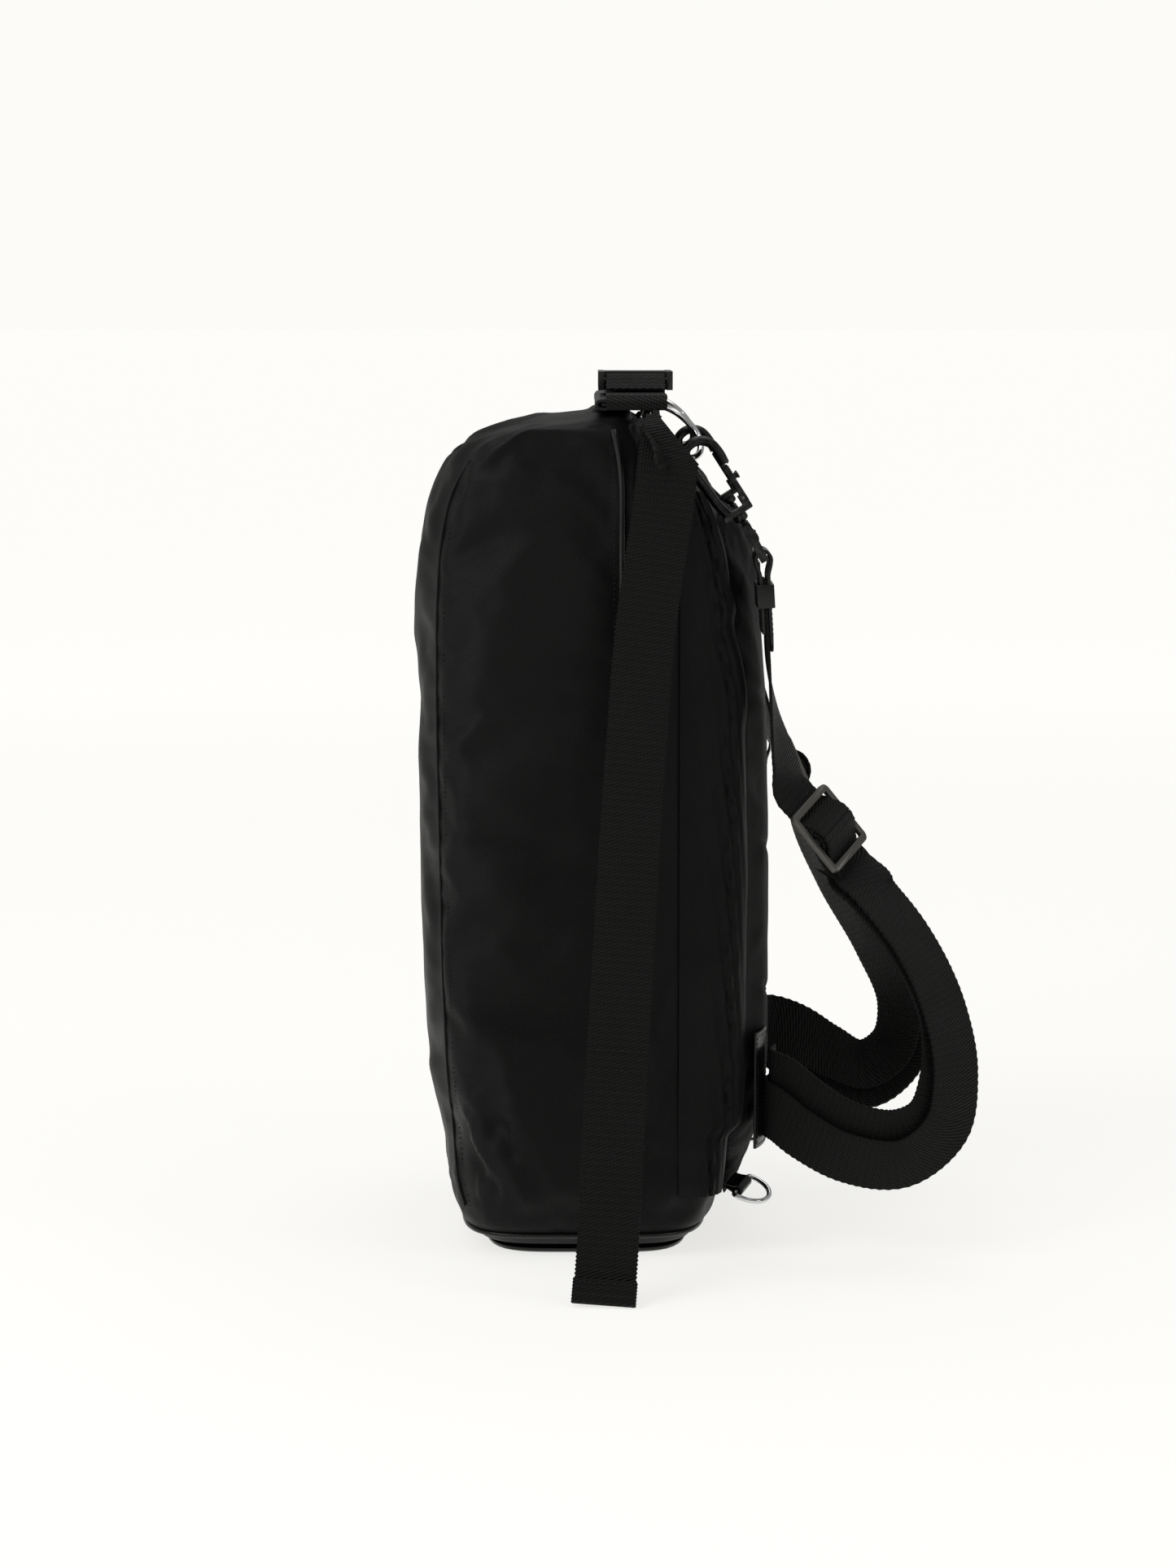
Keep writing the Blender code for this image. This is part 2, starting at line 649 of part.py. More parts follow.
def slider(side, name):
    o, travel, wide, normal = slider_frame(side)
    f = frame_at(o, travel, wide, travel.cross(wide))
    bm = bmesh.new()
    box(bm, (0, 0, 0), (SLIDER_LENGTH, HARDWARE_WIDTH, 0.0036), f)
    obj = finish(name, bm, "grey_metal", o)

    def windows(b):
        for s in (-1, 1):
            box(b, (s * 0.0104, 0, 0), (0.0158, SLOT_WIDTH, 0.02), f)

    cut_or_add(obj, "DIFFERENCE", windows)
    return obj


def run_points(side):
    """Middle line and width direction of the outer run from the slider back to the bag's lower corner."""
    y = side * HALF_W
    if side < 0:
        nominal = 0.0370
        rows = [((0.0640, 0.014, 0.2405), (0.50, 0.77, 0.40)), ((0.0900, 0.012, 0.2070), (0.56, 0.74, 0.36)),
                ((0.1120, 0.010, 0.1580), (0.70, 0.68, 0.22)), ((0.1180, 0.008, 0.1200), (0.78, 0.62, 0.0)),
                ((0.1120, 0.006, 0.0860), (0.70, 0.50, -0.50)), ((0.0860, 0.006, 0.0640), (0.30, 0.42, -0.85)),
                ((0.0480, 0.008, 0.0670), (0.06, 0.34, -0.93)), ((0.0200, 0.020, 0.0800), (-0.05, 0.25, -0.96)),
                ((0.0036, 0.034, 0.0905), (-0.05, 0.15, -0.98))]
    else:
        nominal = 0.0240
        rows = [((0.0330, -0.038, 0.2600), (0.20, -0.95, 0.10)), ((0.0540, -0.038, 0.2130), (0.30, -0.90, 0.15)),
                ((0.0850, -0.038, 0.1650), (0.50, -0.80, 0.20)), ((0.1060, -0.038, 0.1240), (0.70, -0.70, 0.0)),
                ((0.1030, -0.038, 0.0900), (0.60, -0.65, -0.45)), ((0.0790, -0.038, 0.0690), (0.30, -0.60, -0.74)),
                ((0.0470, -0.038, 0.0790), (0.05, -0.42, -0.90)), ((0.0200, -0.037, 0.0950), (0.0, -0.30, -0.95)),
                ((0.0044, -0.036, 0.1000), (0.0, -0.15, -0.98))]
    carry = slider_frame(side)[0].x - BACK_X - nominal
    last = len(rows) - 1
    return [(Vector((BACK_X + p[0] + carry * (1 - k / last), y + p[1], strap_z(p[2]))), Vector(w))
            for k, (p, w) in enumerate(rows)]


def strap_outer(side, name):
    """Webbing from between the tab's legs, over the slider's middle bar and down to the lower corner."""
    tab, down, out = tab_frame(side)
    o, travel, wide, normal = slider_frame(side)
    start = tab + down * 0.0140
    leave = tab + down * 0.0690
    points = [start, tab + down * 0.0400, leave]
    wides = [Vector((0, -side, 0))] * 3
    entry = o - travel * 0.034 - normal * 0.0042
    mid = (leave + entry) / 2 + Vector((-0.0015, 0, 0.0))
    points.append(leave.lerp(mid, 0.75) + Vector((-0.0006, 0, 0)))
    wides.append(Vector((0, -side, 0)).lerp(wide, 0.25))
    points.append(mid.lerp(entry, 0.55))
    wides.append(Vector((0, -side, 0)).lerp(wide, 0.75))
    for a, b in ((-0.0340, -0.0042), (-0.0235, -0.0037), (-0.0185, -0.0034), (-0.0120, 0.0012), (-0.0062, 0.0058),
                 (0.0, 0.0072), (0.0062, 0.0058), (0.0120, 0.0012), (0.0185, -0.0034), (0.0245, -0.0038)):
        points.append(o + travel * a + normal * b)
        wides.append(wide)
    for p, w in run_points(side):
        points.append(p)
        wides.append(w)
    return ribbon(name, points, wides, WEBBING_WIDTH, WEBBING_THICK, "webbing", steps=3)


def strap_inner(side, name):
    """Return layer: sewn round the slider's middle bar and running beside the outer layer."""
    o, travel, wide, normal = slider_frame(side)
    points, wides = [], []
    for a, b in ((0.0125, -0.0026), (0.0085, -0.0010), (0.0058, 0.0014), (0.0040, 0.0036), (0.0, 0.0042),
                 (-0.0040, 0.0034), (-0.0050, 0.0), (-0.0040, -0.0036), (0.0, -0.0046), (0.0060, -0.0056),
                 (0.0130, -0.0069), (0.0200, -0.0080), (0.0270, -0.0088)):
        points.append(o + travel * a + normal * b)
        wides.append(wide)
    run = run_points(side)
    lift = 0.020 if side < 0 else 0.012
    last = len(run) - 1
    inward = -normal
    for k, (p, w) in enumerate(run):
        t = (run[min(k + 1, last)][0] - run[max(k - 1, 0)][0]).normalized()
        across = (w - t * w.dot(t)).normalized()
        n = t.cross(across)
        inward = n if n.dot(inward) > 0 else -n
        rise = lift * min(1.0, max(k - 2, 0) / 3)
        points.append(p + inward * 0.0056 - across * rise)
        wides.append(w)
    return ribbon(name, points, wides, WEBBING_WIDTH, WEBBING_THICK, "webbing", steps=3)


def pad_reach(y, thick=1.0, width=0.86):
    """How far back the pad reaches at a distance from its middle."""
    u = min(abs(y) / (HALF_W * width), 0.999) ** 1.25
    return SHELL_X + HALF_D + 0.0008 + PAD_THICK * thick * (1 - u * u) ** 0.31


def anchor_patch(side, name):
    """Patch on the pad where the straps end, bent to the pad."""
    thick = 0.0020
    points = []
    for k in range(6):
        y = HALF_W * (0.60 + 0.20 * k / 5)
        points.append((pad_reach(y) + 0.0005 + thick / 2, side * y, strap_z(0.1060)))
    return ribbon(name, points, Vector((0, 0, 1)), 0.0760, thick, "leather", steps=1)


# side webbing, lower rings and label

def tail_webbing():
    z = BODY_HEIGHT / 0.538
    y = -HALF_W
    rows = [((0.0550, 0.0020, 0.5400), (1, 0, 0.2)), ((0.0535, -0.0030, 0.5330), (1, 0, 0.1)),
            ((0.0510, -0.0080, 0.5200), (1, 0, 0.05)), ((0.0470, -0.0120, 0.4850), (1, 0, 0)),
            ((0.0380, -0.0170, 0.4250), (1, 0, -0.05)), ((0.0290, -0.0310, 0.3200), (1, 0, -0.05)),
            ((0.0215, -0.0560, 0.2000), (1, 0, -0.03)), ((0.0150, -0.0860, 0.0900), (1, 0, 0)),
            ((0.0105, -0.1090, 0.0140), (1, -0.06, 0)), ((0.0095, -0.1135, 0.0030), (1, -0.08, 0))]
    points = [(SHELL_X + 0.009 + p[0], y + p[1], p[2] * z if p[2] > 0.02 else p[2]) for p, _ in rows]
    return ribbon("tail_webbing", points, [Vector(w) for _, w in rows], WEBBING_WIDTH, WEBBING_THICK, "webbing",
                  steps=4)


def corner_ring(side, name):
    """D-ring at the lower back corner."""
    c = corner_centre(side)
    w = Vector((0.42, -side * 0.86, 0.28)).normalized()
    out = (Vector((0.93, 0, -0.22)) - w * Vector((0.93, 0, -0.22)).dot(w)).normalized()
    half = 0.0125
    line = [(0, -half), (0, -half * 0.5), (0, 0), (0, half * 0.5), (0, half), (0.006, half + 0.0004), (0.0125, half * 0.86),
            (0.0175, half * 0.45), (0.0190, 0), (0.0175, -half * 0.45), (0.0125, -half * 0.86), (0.006, -half - 0.0004)]
    points = [c + out * a + w * b for a, b in line]
    return tube(name, points, 0.0017, "chrome", steps=2, sides=8, closed=True, pivot=c)


def corner_centre(side):
    return Vector((SHELL_X + HALF_D * 0.99 + 0.0135, side * (HALF_W - 0.056), strap_z(0.0380)))


def corner_loop(side, name):
    c = corner_centre(side)
    w = Vector((0.42, -side * 0.86, 0.28)).normalized()
    out = (Vector((0.93, 0, -0.22)) - w * Vector((0.93, 0, -0.22)).dot(w)).normalized()
    n = w.cross(out)
    r = 0.0017 + 0.0006 + 0.0007
    line = [(-0.0090, 0.0012), (-0.0045, 0.0018), (0.0, r), (r * 0.75, r * 0.75), (r, 0), (r * 0.75, -r * 0.75),
            (0.0, -r), (-0.0045, -0.0018), (-0.0090, -0.0012)]
    points = [c + out * a + n * b for a, b in line]
    return ribbon(name, points, w, 0.0160, 0.0014, "leather", steps=2)


def care_label():
    x = SHELL_X + HALF_D + PAD_THICK * 0.93 + 0.0020
    bm = bmesh.new()
    box(bm, (x + 0.0016, -HALF_W * 0.20, strap_z(0.318)), (0.0008, 0.020, 0.016))
    return finish("care_label", bm, "label")


def build():
    clear_scene()
    main_shell()
    base_panel()
    base_stiffener()
    base_piping()
    side_piping(-1, "side_piping_near")
    side_piping(1, "side_piping_far")
    back_pad()
    closure_roll()
    closure_strap(-1, "closure_strap_near")
    closure_strap(1, "closure_strap_far")
    buckle_female()
    buckle_male()
    for side, tag in ((-1, "near"), (1, "far")):
        o_ring(side, "o_ring_" + tag)
        ring_loop(side, "ring_loop_" + tag)
        hook_body(side, "hook_" + tag)
        hook_gate(side, "hook_gate_" + tag)
        gate_rivet(side, "gate_rivet_" + tag)
        hook_bail(side, "hook_bail_" + tag)
        leather_tab(side, "leather_tab_" + tag)
        keeper(side, "keeper_" + tag)
        slider(side, "slider_" + tag)
        strap_outer(side, "strap_outer_" + tag)
        strap_inner(side, "strap_inner_" + tag)
        anchor_patch(side, "anchor_patch_" + tag)
        corner_ring(side, "corner_ring_" + tag)
        corner_loop(side, "corner_loop_" + tag)
    tail_webbing()
    care_label()


build()
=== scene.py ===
from math import cos, sin, pi, radians, copysign, exp
import bpy
import bmesh
from mathutils import Vector, Matrix, noise
from mathutils.bvhtree import BVHTree


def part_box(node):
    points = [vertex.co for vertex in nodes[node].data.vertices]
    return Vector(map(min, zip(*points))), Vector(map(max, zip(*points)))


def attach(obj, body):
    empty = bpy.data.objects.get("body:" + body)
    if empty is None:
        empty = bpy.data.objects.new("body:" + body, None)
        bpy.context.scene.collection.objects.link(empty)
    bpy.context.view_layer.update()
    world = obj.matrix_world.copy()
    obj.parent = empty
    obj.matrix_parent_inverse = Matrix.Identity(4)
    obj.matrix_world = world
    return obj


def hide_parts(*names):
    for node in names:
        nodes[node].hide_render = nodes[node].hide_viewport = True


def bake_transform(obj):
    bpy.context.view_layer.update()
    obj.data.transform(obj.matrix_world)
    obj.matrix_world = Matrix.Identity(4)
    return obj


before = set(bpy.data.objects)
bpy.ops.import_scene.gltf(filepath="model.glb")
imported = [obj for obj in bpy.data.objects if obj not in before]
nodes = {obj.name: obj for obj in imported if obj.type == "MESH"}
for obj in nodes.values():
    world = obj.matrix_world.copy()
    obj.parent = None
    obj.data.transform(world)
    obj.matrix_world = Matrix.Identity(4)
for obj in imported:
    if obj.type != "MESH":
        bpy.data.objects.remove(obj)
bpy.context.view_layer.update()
scene = bpy.context.scene
print("frame loaded:", len(nodes), "nodes")

# camera, floor and light
studio = {
    "cameraPlace": (0.0, -2.65, 0.62), "cameraTilt": 82.94, "lens": 92.0,
    "floorColour": (0.25, 0.25, 0.247), "floorGlow": (0.755, 0.885), "skyColour": (0.976, 0.968, 0.940),
    "fillPower": 0.36,
}


def makeStudio():
    cameraData = bpy.data.cameras.new("camera")
    cameraData.lens = studio["lens"]
    cameraData.sensor_width = 36.0
    cameraData.clip_end = 60.0
    camera = bpy.data.objects.new("camera", cameraData)
    camera.location = studio["cameraPlace"]
    camera.rotation_euler = (radians(studio["cameraTilt"]), 0, 0)
    scene.collection.objects.link(camera)
    scene.camera = camera
    scene.view_settings.view_transform = "Standard"
    world = bpy.data.worlds.new("studio air")
    world.use_nodes = True
    tree = world.node_tree
    fill = tree.nodes["Background"]
    fill.inputs["Color"].default_value = (1, 0.99, 0.97, 1)
    fill.inputs["Strength"].default_value = studio["fillPower"]
    sky = node(tree, "ShaderNodeBackground", {"Color": (*studio["skyColour"], 1), "Strength": 1.0})
    seen = node(tree, "ShaderNodeLightPath").outputs["Is Camera Ray"]
    mixed = node(tree, "ShaderNodeMixShader", {0: seen, 1: fill.outputs[0], 2: sky.outputs[0]})
    tree.links.new(mixed.outputs[0], tree.nodes["World Output"].inputs["Surface"])
    scene.world = world
    lamps = [("soft box left", (-1.7, -1.5, 2.0), (0, 0, 0.30), 1.5, 34.0),
             ("soft box top", (-0.1, 0.3, 2.4), (0, 0, 0.2), 1.9, 22.0),
             ("strip right", (1.7, -1.0, 1.2), (0.05, 0, 0.35), 0.6, 5.0)]
    for name, place, target, size, power in lamps:
        data = bpy.data.lights.new(name, "AREA")
        data.size = size
        data.energy = power
        light = bpy.data.objects.new(name, data)
        light.location = place
        light.rotation_euler = (Vector(target) - Vector(place)).to_track_quat("-Z", "Y").to_euler()
        scene.collection.objects.link(light)


# node helpers
def node(tree, kind, sockets=None, **props):
    made = tree.nodes.new(kind)
    for key, value in props.items():
        setattr(made, key, value)
    for key, value in (sockets or {}).items():
        if isinstance(value, bpy.types.NodeSocket):
            tree.links.new(value, made.inputs[key])
        else:
            made.inputs[key].default_value = value
    return made


def maths(tree, operation, a, b=0.0, c=0.0):
    return node(tree, "ShaderNodeMath", {0: a, 1: b, 2: c}, operation=operation).outputs[0]


def dot(tree, vector, direction):
    return node(tree, "ShaderNodeVectorMath", {0: vector, 1: direction},
                operation="DOT_PRODUCT").outputs["Value"]


def ramp(tree, value, low, high, toLow=0.0, toHigh=1.0):
    return node(tree, "ShaderNodeMapRange", {"Value": value, "From Min": low, "From Max": high,
                                             "To Min": toLow, "To Max": toHigh}).outputs["Result"]


def newGroup(name, takes, gives):
    group = bpy.data.node_groups.new(name, "ShaderNodeTree")
    for label, kind, value in takes:
        socket = group.interface.new_socket(name=label, in_out="INPUT", socket_type=kind)
        if value is not None:
            socket.default_value = value
    for label in gives:
        group.interface.new_socket(name=label, in_out="OUTPUT", socket_type="NodeSocketFloat")
    return group, group.nodes.new("NodeGroupInput").outputs, group.nodes.new("NodeGroupOutput").inputs


def twillWeave():
    group, takes, gives = newGroup("twill weave", [("Place", "NodeSocketVector", None),
                                                   ("Pitch", "NodeSocketFloat", 0.0008)],
                                   ["Height", "PaintedShadeAndTone"])
    turns = maths(group, "DIVIDE", 6.2832, takes["Pitch"])
    rib = maths(group, "SINE", maths(group, "MULTIPLY", dot(group, takes["Place"], (0.72, 0.72, 1.0)),
                                     turns))
    yarn = maths(group, "SINE", maths(group, "MULTIPLY", dot(group, takes["Place"], (-1.1, -1.1, 1.3)),
                                      turns))
    height = maths(group, "MULTIPLY_ADD", yarn, 0.35, rib)
    group.links.new(height, gives["Height"])
    # colour follows the weave height: painted shade in the grooves, painted highlight on the ridges
    group.links.new(ramp(group, height, -1.35, 1.35), gives["PaintedShadeAndTone"])
    return group


def webbingWeave():
    group, takes, gives = newGroup("webbing weave", [("Place", "NodeSocketVector", None),
                                                     ("Pitch", "NodeSocketFloat", 0.0022),
                                                     ("Slant", "NodeSocketFloat", 0.42)],
                                   ["Height", "PaintedShadeAndTone"])
    split = node(group, "ShaderNodeSeparateXYZ", {0: takes["Place"]}).outputs
    turns = maths(group, "DIVIDE", 6.2832, takes["Pitch"])
    slanted = maths(group, "MULTIPLY_ADD", split["Y"], takes["Slant"], split["X"])
    rib = maths(group, "SINE", maths(group, "MULTIPLY", slanted, turns))
    yarn = maths(group, "SINE", maths(group, "MULTIPLY", split["X"], maths(group, "MULTIPLY", turns, 0.48)))
    step = maths(group, "SINE", maths(group, "MULTIPLY", split["Y"], maths(group, "MULTIPLY", turns, 1.1)))
    height = maths(group, "MULTIPLY_ADD", yarn, 0.55, maths(group, "MULTIPLY_ADD", step, 0.45, rib))
    group.links.new(height, gives["Height"])
    # colour follows the rib height: painted shade in the valleys, painted highlight on the rib tops
    group.links.new(ramp(group, height, -0.5, 1.7), gives["PaintedShadeAndTone"])
    return group


def leatherGrain():
    group, takes, gives = newGroup("leather grain", [("Place", "NodeSocketVector", None),
                                                     ("Scale", "NodeSocketFloat", 900.0)],
                                   ["Height", "PaintedShadeAndTone"])
    cells = node(group, "ShaderNodeTexVoronoi", {"Vector": takes["Place"],
                                                 "Scale": takes["Scale"]}).outputs["Distance"]
    broad = node(group, "ShaderNodeTexNoise", {"Vector": takes["Place"], "Scale": 180.0,
                                               "Detail": 4.0}).outputs["Fac"]
    group.links.new(maths(group, "MULTIPLY_ADD", broad, 0.6, cells), gives["Height"])
    group.links.new(ramp(group, broad, 0.3, 0.7), gives["PaintedShadeAndTone"])
    return group


def edgeWear():
    group, takes, gives = newGroup("edge wear", [("Place", "NodeSocketVector", None),
                                                 ("Amount", "NodeSocketFloat", 0.5)], ["Mask"])
    point = node(group, "ShaderNodeNewGeometry").outputs["Pointiness"]
    patchy = node(group, "ShaderNodeTexNoise", {"Vector": takes["Place"], "Scale": 260.0,
                                                "Detail": 5.0}).outputs["Fac"]
    edge = ramp(group, point, 0.52, 0.62)
    rubbed = maths(group, "MULTIPLY", edge, ramp(group, patchy, 0.42, 0.66))
    group.links.new(maths(group, "MULTIPLY", rubbed, takes["Amount"]), gives["Mask"])
    return group


def dustFilm():
    group, takes, gives = newGroup("dust film", [("Place", "NodeSocketVector", None),
                                                 ("Amount", "NodeSocketFloat", 0.5)], ["Mask"])
    normal = node(group, "ShaderNodeNewGeometry").outputs["Normal"]
    upward = ramp(group, dot(group, normal, (0, 0, 1)), 0.2, 1.0)
    patchy = node(group, "ShaderNodeTexNoise", {"Vector": takes["Place"], "Scale": 38.0,
                                                "Detail": 6.0}).outputs["Fac"]
    film = maths(group, "MULTIPLY", upward, ramp(group, patchy, 0.4, 0.75))
    group.links.new(maths(group, "MULTIPLY", film, takes["Amount"]), gives["Mask"])
    return group


groups = {"twill": twillWeave(), "webbing": webbingWeave(), "leather": leatherGrain(),
          "wear": edgeWear(), "dust": dustFilm()}

# what changes from one finish to the next: dark and light tone (on woven finishes the dark one is painted
# shade in the grooves and the light one painted highlight on the ribs), roughness, gloss, pattern, bump
# depth
finishes = {
    "bag twill": dict(low=(0.0008, 0.0008, 0.0008), high=(0.0030, 0.0029, 0.0028), rough=(0.40, 0.54),
                      gloss=0.12, pattern="twill", fine=0.0011, depth=0.00010, sheen=0.006, dust=0.10,
                      blotch=9.0),
    "lining twill": dict(low=(0.0012, 0.0012, 0.0012), high=(0.0032, 0.0031, 0.0031), rough=(0.32, 0.46),
                         gloss=0.22, pattern="twill", fine=0.0008, depth=0.00005, sheen=0.01, dust=0.05,
                         blotch=20.0),
    "pad cloth": dict(low=(0.0010, 0.0010, 0.0010), high=(0.0038, 0.0036, 0.0036), rough=(0.55, 0.72),
                      gloss=0.07, pattern="twill", fine=0.0018, depth=0.00025, sheen=0.008, dust=0.08,
                      blotch=12.0),
    "black webbing": dict(low=(0.0008, 0.0008, 0.0008), high=(0.0100, 0.0094, 0.0086), rough=(0.52, 0.68),
                          gloss=0.12, pattern="webbing", fine=0.0021, depth=0.00060, sheen=0.01, dust=0.05,
                          blotch=25.0),
    "thread": dict(low=(0.0030, 0.0030, 0.0030), high=(0.0120, 0.0115, 0.0110), rough=(0.40, 0.55),
                   gloss=0.22, pattern="twill", fine=0.0005, depth=0.00004, sheen=0.01, dust=0.0,
                   blotch=60.0),
    "black leather": dict(low=(0.0014, 0.0014, 0.0013), high=(0.0040, 0.0038, 0.0036), rough=(0.24, 0.38),
                          gloss=0.30, pattern="leather", fine=900.0, depth=0.00010, sheen=0.0, dust=0.03,
                          blotch=30.0),
    "cord leather": dict(low=(0.0020, 0.0020, 0.0020), high=(0.0052, 0.0050, 0.0048), rough=(0.16, 0.24),
                         gloss=0.62, pattern="leather", fine=900.0, depth=0.00005, sheen=0.0, dust=0.03,
                         blotch=30.0),
    "label tape": dict(low=(0.30, 0.30, 0.29), high=(0.44, 0.43, 0.41), rough=(0.7, 0.85), gloss=0.2,
                       pattern="twill", fine=0.0006, depth=0.00006, sheen=0.0, dust=0.1, blotch=60.0),
    "stiff board": dict(low=(0.07, 0.07, 0.07), high=(0.12, 0.12, 0.12), rough=(0.5, 0.7), gloss=0.3,
                        pattern="leather", fine=500.0, depth=0.00005, sheen=0.0, dust=0.1, blotch=30.0),
    "moulded black": dict(low=(0.0032, 0.0032, 0.0033), high=(0.0070, 0.0069, 0.0068), rough=(0.26, 0.38),
                          gloss=0.40, pattern="leather", fine=2600.0, depth=0.00003, sheen=0.0, dust=0.05,
                          blotch=60.0),
}
metals = {
    "ring chrome": dict(colour=(0.66, 0.66, 0.67), worn=(0.50, 0.50, 0.50), rough=(0.05, 0.16), wear=0.3),
    "hook black": dict(colour=(0.006, 0.006, 0.006), worn=(0.16, 0.155, 0.15), rough=(0.28, 0.42),
                       wear=0.5),
    "slider grey": dict(colour=(0.085, 0.083, 0.075), worn=(0.22, 0.215, 0.20), rough=(0.34, 0.48),
                        wear=0.5),
}
materials = {}


def softMaterial(name):
    look = finishes[name]
    mat = bpy.data.materials.new(name)
    mat.use_nodes = True
    tree = mat.node_tree
    shader = tree.nodes["Principled BSDF"]
    coords = node(tree, "ShaderNodeTexCoord").outputs
    place = coords["UV"] if look["pattern"] == "webbing" else coords["Object"]
    weave = node(tree, "ShaderNodeGroup", node_tree=groups[look["pattern"]])
    tree.links.new(place, weave.inputs["Place"])
    weave.inputs["Scale" if look["pattern"] == "leather" else "Pitch"].default_value = look["fine"]
    blotch = node(tree, "ShaderNodeTexNoise", {"Vector": coords["Object"], "Scale": look["blotch"],
                                               "Detail": 5.0})
    # base colour: painted shade and highlight from the weave height, with a random blotch tone
    paintedShadeAndBlotch = maths(tree, "MULTIPLY_ADD", weave.outputs["PaintedShadeAndTone"], 0.65,
                  maths(tree, "MULTIPLY", blotch.outputs["Fac"], 0.35))
    base = node(tree, "ShaderNodeMix", {0: paintedShadeAndBlotch, 6: (*look["low"], 1), 7: (*look["high"], 1)},
                data_type="RGBA")
    dust = node(tree, "ShaderNodeGroup", {"Place": coords["Object"], "Amount": look["dust"]},
                node_tree=groups["dust"])
    dusted = node(tree, "ShaderNodeMix", {0: maths(tree, "MULTIPLY", dust.outputs["Mask"], 0.12),
                                          6: base.outputs[2], 7: (0.16, 0.155, 0.145, 1)}, data_type="RGBA")
    tree.links.new(dusted.outputs[2], shader.inputs["Base Color"])
    tree.links.new(ramp(tree, blotch.outputs["Fac"], 0.3, 0.7, *look["rough"]), shader.inputs["Roughness"])
    bump = node(tree, "ShaderNodeBump", {"Height": weave.outputs["Height"], "Distance": look["depth"],
                                         "Strength": 0.8})
    tree.links.new(bump.outputs["Normal"], shader.inputs["Normal"])
    shader.inputs["Specular IOR Level"].default_value = look["gloss"]
    shader.inputs["Sheen Weight"].default_value = look["sheen"]
    shader.inputs["Sheen Roughness"].default_value = 0.5
    materials[name] = mat


def metalMaterial(name):
    look = metals[name]
    mat = bpy.data.materials.new(name)
    mat.use_nodes = True
    tree = mat.node_tree
    shader = tree.nodes["Principled BSDF"]
    place = node(tree, "ShaderNodeTexCoord").outputs["Object"]
    wear = node(tree, "ShaderNodeGroup", {"Place": place, "Amount": look["wear"]}, node_tree=groups["wear"])
    base = node(tree, "ShaderNodeMix", {0: wear.outputs["Mask"], 6: (*look["colour"], 1),
                                        7: (*look["worn"], 1)},
                data_type="RGBA")
    tree.links.new(base.outputs[2], shader.inputs["Base Color"])
    scuff = node(tree, "ShaderNodeTexNoise", {"Vector": place, "Scale": 420.0,
                                              "Detail": 6.0}).outputs["Fac"]
    tree.links.new(ramp(tree, scuff, 0.35, 0.7, *look["rough"]), shader.inputs["Roughness"])
    bump = node(tree, "ShaderNodeBump", {"Height": scuff, "Distance": 0.00002, "Strength": 0.4})
    tree.links.new(bump.outputs["Normal"], shader.inputs["Normal"])
    shader.inputs["Metallic"].default_value = 1.0 if name == "ring chrome" else 0.7
    materials[name] = mat


def floorMaterial():
    mat = bpy.data.materials.new("studio paper")
    mat.use_nodes = True
    tree = mat.node_tree
    shader = tree.nodes["Principled BSDF"]
    shader.inputs["Base Color"].default_value = (*studio["floorColour"], 1)
    shader.inputs["Roughness"].default_value = 0.9
    shader.inputs["Specular IOR Level"].default_value = 0.1
    shader.inputs["Emission Color"].default_value = (1, 0.993, 0.970, 1)
    # the paper brightens away from the lamps, so that it stays one even tone
    place = node(tree, "ShaderNodeTexCoord").outputs["Object"]
    away = node(tree, "ShaderNodeVectorMath", {0: place}, operation="LENGTH").outputs["Value"]
    tree.links.new(ramp(tree, away, 0.4, 3.6, *studio["floorGlow"]), shader.inputs["Emission Strength"])
    return mat


for finishName in finishes:
    softMaterial(finishName)
for finishName in metals:
    metalMaterial(finishName)
print("materials made:", len(materials))


# mesh helpers
def spansOf(points, closed=False):
    ahead = points[1:] + points[:1] if closed else points[1:]
    return [(Vector(b) - Vector(a)).length for a, b in zip(points, ahead)]


def smoothLine(points, steps, closed=False, spans=None):
    pts = [Vector(p) for p in points]
    n = len(pts)
    spans = spans or spansOf(pts, closed)
    slopes = []
    for i in range(n):
        if closed or 0 < i < n - 1:
            h0, h1 = spans[i - 1], spans[i]
            slopes.append(((pts[i] - pts[i - 1]) / h0 * h1
                           + (pts[(i + 1) % n] - pts[i]) / h1 * h0) / (h0 + h1))
        elif i == 0:
            slopes.append((pts[1] - pts[0]) / spans[0])
        else:
            slopes.append((pts[-1] - pts[-2]) / spans[-1])
    out = []
    for i in range(len(spans)):
        a, b, h = pts[i], pts[(i + 1) % n], spans[i]
        for k in range(steps):
            t = k / steps
            out.append(a * (2 * t ** 3 - 3 * t * t + 1) + slopes[i] * h * (t ** 3 - 2 * t * t + t)
                       + b * (3 * t * t - 2 * t ** 3) + slopes[(i + 1) % n] * h * (t ** 3 - t * t))
    if not closed:
        out.append(pts[-1])
    return out


